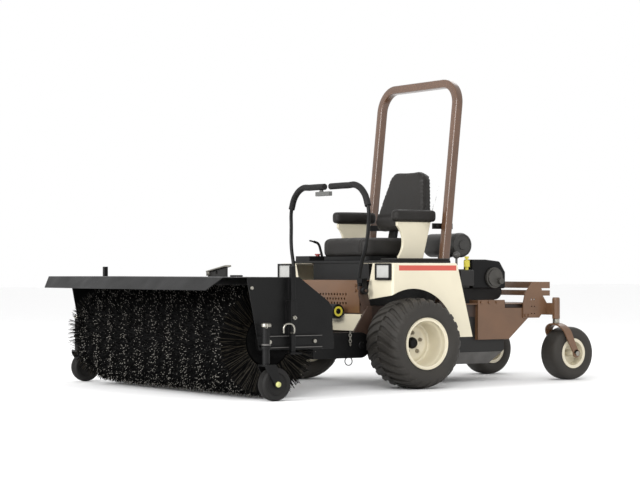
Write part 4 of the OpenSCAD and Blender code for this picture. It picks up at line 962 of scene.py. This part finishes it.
# Hood of the brush: one folded black sheet with end plates, caster arms and the sleeves of
# the parking stands bolted to them, and a bright latch on the eye plate behind it.
plate_y = -0.905
latch_tilt = 0.15
split_x = 0.5
for name, radius in (("hood", 0.0012), ("end_plates", 0.0015), ("caster_arms", 0.0015),
                     ("stand_left", 0.002), ("stand_right", 0.002)):
    eased(name, black_paint, radius)
dress(zinc, "brush_bearing")
dress(dark_metal, "brush_motor")
for sign, side in ((1, "left"), (-1, "right")):
    bolt_cut = [((sign * split_x, 0, 0), (-sign, 0, 0))]
    eased("head_hardware", zinc, 0.0012, cuts=bolt_cut, name="head_bolts_" + side)
latch_plane = Vector((-latch_tilt, 0, 1)).normalized()
plate_cuts = [((split_x, 0, 0), (1, 0, 0)), ((-split_x, 0, 0), (-1, 0, 0)),
              ((0, 0, 0.6815), latch_plane)]
eased("head_hardware", dark_metal, 0.002, cuts=plate_cuts, name="eye_plate")
latch = bmesh.new()
block(latch, (0.008, plate_y, 0.6865), (0.222, 0.040, 0.010),
      Matrix.Rotation(-math.atan(latch_tilt), 4, "Y"))
block(latch, (-0.088, plate_y - 0.012, 0.661), (0.030, 0.010, 0.030))
rounded(latch, 0.002, 2)
put_on("hood_latch", latch, zinc, "head")

# Brush: stiff black bristles set all round the core in close rings, worn to uneven lengths and
# splayed outwards at both ends. Their tips are painted grey as painted highlights, and the far end
# is thinner.
bristle = coat("bristle", tint(6, 6, 6), 0.8, spread=0.5, cloud=60.0, relief=0.2, grain=200.0,
               shine=0.06)
# Tan for the splayed fibres at the brush ends: painted highlights on the dark strands.
end_fibre_highlight = coat("end_fibre_highlight", tint(40, 36, 28), 0.6, spread=0.5, cloud=90.0, shine=0.2,
                 slot="bristle")
brush_low, brush_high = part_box("bristles")
brush_x = (brush_low[0] + brush_high[0]) / 2
brush_y = (brush_low[1] + brush_high[1]) / 2
brush_z = (brush_low[2] + brush_high[2]) / 2
brush_r = (brush_high[2] - brush_low[2]) / 2
brush_l = brush_high[0] - brush_low[0]
brush_end = (brush_low[0], brush_y, brush_z)
spokes = 72
rings = 288
pitch = brush_l / rings
root = 0.137
strand_length = 0.952
ragged = 0.085
bands = 10.5
band_lean = 2.8
band_height = 0.022
stagger = 0.05
splay_reach = 0.008
splay_from = 0.94
thin_rings = 22
thin_share = 0.3
end_spokes = 220
end_inset = 0.006
# Grey on the outermost few millimetres of the strands: painted highlights on the tips.
bristle_highlight_tips = bristle.copy()
bristle_highlight_tips.name = "bristle_highlight_tips"
tip_tree = bristle_highlight_tips.node_tree
tip_spot = added(tip_tree, "TexCoord", {}).outputs["Object"]
tip_shift = added(tip_tree, "Mapping", {"Vector": tip_spot, "Location": (0, -brush_y, -brush_z),
                                        "Scale": (0, 1, 1)}).outputs["Vector"]
tip_reach = added(tip_tree, "VectorMath", {0: tip_shift}, operation="LENGTH").outputs["Value"]
tip_highlight = added(tip_tree, "MapRange", {"Value": tip_reach, "From Min": brush_r - 0.0065,
                                        "From Max": brush_r - 0.0035}).outputs["Result"]
paint_over(bristle_highlight_tips, tip_highlight, tint(128, 125, 119))


def one_strand(thick, thin, short):
    """A single bristle that stands on the core, thinner at its tip."""
    shape = bmesh.new()
    at = Matrix.Translation((0, 0, (brush_r + root - short) / 2))
    bmesh.ops.create_cone(shape, cap_ends=True, segments=3, radius1=thick, radius2=thin,
                          depth=brush_r - root - short, matrix=at)
    return shape


strands = one_strand(0.0030, 0.0018, 0)
spun_round(strands, spokes, (0, 0, 0))
for copies, reach in ((2, 1), (2, 2), (2, 4), (2, 8), (2, 16), (3, 32), (3, 96)):
    first = whole(strands)
    for copy in range(1, copies):
        new = bmesh.ops.duplicate(strands, geom=first)["geom"]
        bmesh.ops.translate(strands, vec=(reach * copy * pitch, 0, 0), verts=corners(new))
random.seed(11)
lean = {(ring, spoke): (random.gauss(0, 0.045), random.gauss(0, 0.009), random.random(),
                        random.gauss(0, 0.05))
        for ring in range(rings) for spoke in range(spokes)}
shed = []
for vert in strands.verts:
    ring = min(max(round(vert.co.x / pitch), 0), rings - 1)
    angle = math.atan2(vert.co.y, vert.co.z)
    spoke = round(angle / (2 * math.pi / spokes)) % spokes
    sway, drift, chance, sweep = lean[ring, spoke]
    if ring < thin_rings and chance > thin_share + (1 - thin_share) * (ring / thin_rings) ** 2:
        shed.append(vert)
    r = math.hypot(vert.co.y, vert.co.z)
    share = (r - root) / (brush_r - root)
    to_end = (ring + 0.5) / rings * 2 - 1
    splay = splay_reach * max(0, abs(to_end) - splay_from) / (1 - splay_from)
    wave = math.sin(2 * math.pi * (bands * ring / rings + band_lean * (1 + math.sin(angle))))
    length = strand_length + band_height * wave + ragged * (chance - 0.5)
    angle += sway * (0.4 + share) + sweep * share ** 2 + stagger * (ring % 2)
    r = root + (r - root) * min(length, 1)
    vert.co.x += pitch / 2 + brush_low[0] + (drift + math.copysign(splay, to_end)) * share
    vert.co.y = brush_y + r * math.sin(angle)
    vert.co.z = brush_z + r * math.cos(angle)
bmesh.ops.delete(strands, geom=shed, context="VERTS")
bmesh.ops.recalc_face_normals(strands, faces=strands.faces)
put_on("brush_strands", strands, bristle_highlight_tips, "brush", "bristles")
# The bed stands for the dense inner bristles and is bristle black, also painted shade for the dark
# depth between the strands.
bed = turned([(0.136, 0.110), (0.220, 0.125), (0.272, 0.170), (0.272, brush_l - 0.035),
              (0.235, brush_l - 0.016), (0.136, brush_l - 0.012), (0.136, 0.110)], brush_end, 72)
put_on("brush_bed", bed, bristle, "brush")
# The core is bristle black: painted shade for the dark centre at the brush ends.
core_low, core_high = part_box("brush_core")
core_left = core_high[0] - brush_low[0]
core_right = core_low[0] - brush_low[0]
core = turned([(0, core_right), (0.085, core_right), (0.085, -0.004), (0.130, 0), (0.130, brush_l),
               (0.085, brush_l + 0.004), (0.085, core_left), (0, core_left)], brush_end, 64)
put_on("brush_core_tube", core, bristle, "brush", "brush_core")
fibres = one_strand(0.0022, 0.0012, 0.004)
spun_round(fibres, end_spokes, (0, 0, 0))
end_lean = [(random.gauss(0, 0.05), random.uniform(-0.016, 0.006), random.uniform(0.86, 0.995))
            for _ in range(end_spokes)]
for vert in fibres.verts:
    angle = math.atan2(vert.co.y, vert.co.z)
    sway, drift, length = end_lean[round(angle / (2 * math.pi / end_spokes)) % end_spokes]
    r = math.hypot(vert.co.y, vert.co.z)
    share = (r - root) / (brush_r - root)
    r = root + (r - root) * length
    angle += sway * share
    vert.co.x += brush_high[0] - end_inset + drift * share
    vert.co.y = brush_y + r * math.sin(angle)
    vert.co.z = brush_z + r * math.cos(angle)
far_end = bmesh.ops.duplicate(fibres, geom=whole(fibres))["geom"]
far_side = Matrix.Translation((2 * brush_x, 0, 0)) @ Matrix.Diagonal((-1, 1, 1, 1))
bmesh.ops.transform(fibres, matrix=far_side, verts=corners(far_end))
bmesh.ops.recalc_face_normals(fibres, faces=fibres.faces)
put_on("brush_end_fibres", fibres, end_fibre_highlight, "brush")

# Casters of the head: ribbed solid rubber wheels in black forks, with a plated cap and ring
# pin on each stem, a yellow grease cap on each axle and a wire clip in each stand's sleeve.
dark_rubber = coat("wheel_rubber", tint(24, 23, 22), 0.7, spread=0.2, cloud=20.0, relief=0.3,
                   grain=300.0, shine=0.25, slot="tyre_rubber")
grease_yellow = coat("grease_cap", tint(176, 176, 112), 0.4, cloud=30.0, slot="yellow_plastic")
stem_y = -1.2525
collar_z = 0.293
arm_face = 1.0462
arm_highlight_heights = (0.2745, 0.3345)
clip_x = 1.104
rib_depth = 0.004
for sign, side in ((1, "left"), (-1, "right")):
    eased("head_fork_" + side, black_paint, 0.002)
    low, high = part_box("head_wheel_" + side)
    centre = middle("head_wheel_" + side)
    half_w = (high[0] - low[0]) / 2
    wheel_r = (high[2] - low[2]) / 2
    ribs = []
    for rib in range(5):
        rib_x = 0.020 * (rib / 2 - 1)
        rib_r = wheel_r - 0.0008 * (rib - 2) ** 2
        groove_r = wheel_r - rib_depth
        ribs += [(groove_r, rib_x - 0.0048), (rib_r, rib_x - 0.0036), (rib_r, rib_x + 0.0036),
                 (groove_r, rib_x + 0.0048)]
    cheek = [(0.0072, half_w), (0.018, half_w), (0.018, 0.020), (wheel_r - 0.034, 0.024),
             (wheel_r - 0.028, 0.0315), (wheel_r - 0.012, 0.0325), (wheel_r - 0.006, 0.028)]
    near = flipped(cheek)
    wheel = turned(near + ribs + cheek[::-1] + near[:1], centre, 64)
    put_on("head_wheel_rubber_" + side, wheel, dark_rubber, "head_wheel_" + side,
           "head_wheel_" + side, sharp=30)
    fork_low, fork_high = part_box("head_fork_" + side)
    fork_face = max(abs(fork_low[0]), abs(fork_high[0])) - 0.0005
    grease = turned([(0, 0.012), (0.009, 0.011), (0.014, 0.007), (0.015, 0), (0, 0)], (0, 0, 0), 32)
    placed(grease, Matrix.Translation((sign * fork_face, centre.y, centre.z))
           @ Matrix.Diagonal((sign, 1, 1, 1)))
    put_on("head_grease_cap_" + side, grease, grease_yellow, "head_caster_" + side)
    stem_x = (fork_low[0] + fork_high[0]) / 2
    stem_top = fork_high[2]
    stem_cap = turned([(0, 0.0035), (0.018, 0.003), (0.026, -0.002), (0.027, -0.006),
                       (0.027, -0.0175), (0.0, -0.0175)], (0, 0, 0), 40)
    placed(stem_cap, Matrix.Translation((stem_x, stem_y, stem_top))
           @ Matrix.Rotation(-math.pi / 2, 4, "Y"))
    put_on("head_stem_cap_" + side, stem_cap, zinc, "head_caster_" + side)
    ring_pin = bmesh.new()
    loop = [(stem_x + 0.030 + 0.012 * math.cos(t), stem_y - 0.018,
             stem_top - 0.012 + 0.012 * math.sin(t)) for t in round_trip(10)]
    ring_pin.from_mesh(pipe(loop, 0.0022, 3))
    put_on("head_ring_pin_" + side, ring_pin, zinc, "head_caster_" + side)
    collar = turned([(0.0215, -0.0045), (0.0250, -0.0035), (0.0250, 0.0035), (0.0215, 0.0045),
                     (0.0215, -0.0045)], (0, 0, 0), 40)
    placed(collar, Matrix.Translation((stem_x, stem_y, collar_z))
           @ Matrix.Rotation(math.pi / 2, 4, "Y"))
    put_on("caster_tube_collar_" + side, collar, pale_steel_and_painted_light, "head")
    clip = bmesh.new()
    bow = [(1.070, -1.095, 0.352), (1.098, -1.095, 0.352), (clip_x, -1.095, 0.362),
           (clip_x, -1.099, 0.386), (clip_x, -1.112, 0.397), (clip_x, -1.128, 0.400),
           (clip_x, -1.146, 0.397), (clip_x, -1.158, 0.386), (clip_x, -1.161, 0.352)]
    clip.from_mesh(pipe([(sign * x, y, z) for x, y, z in bow], 0.0048, 5))
    put_on("stand_clip_" + side, clip, zinc, "head")
    # Thin light strips along the top and bottom edges of the caster arms: painted highlights.
    highlight_strips = bmesh.new()
    for highlight_z in arm_highlight_heights:
        block(highlight_strips, (sign * arm_face, -1.049, highlight_z), (0.002, 0.333, 0.004))
    rounded(highlight_strips, 0.0006, 1)
    put_on("caster_arm_painted_highlights_" + side, highlight_strips, pale_steel_and_painted_light, "head")
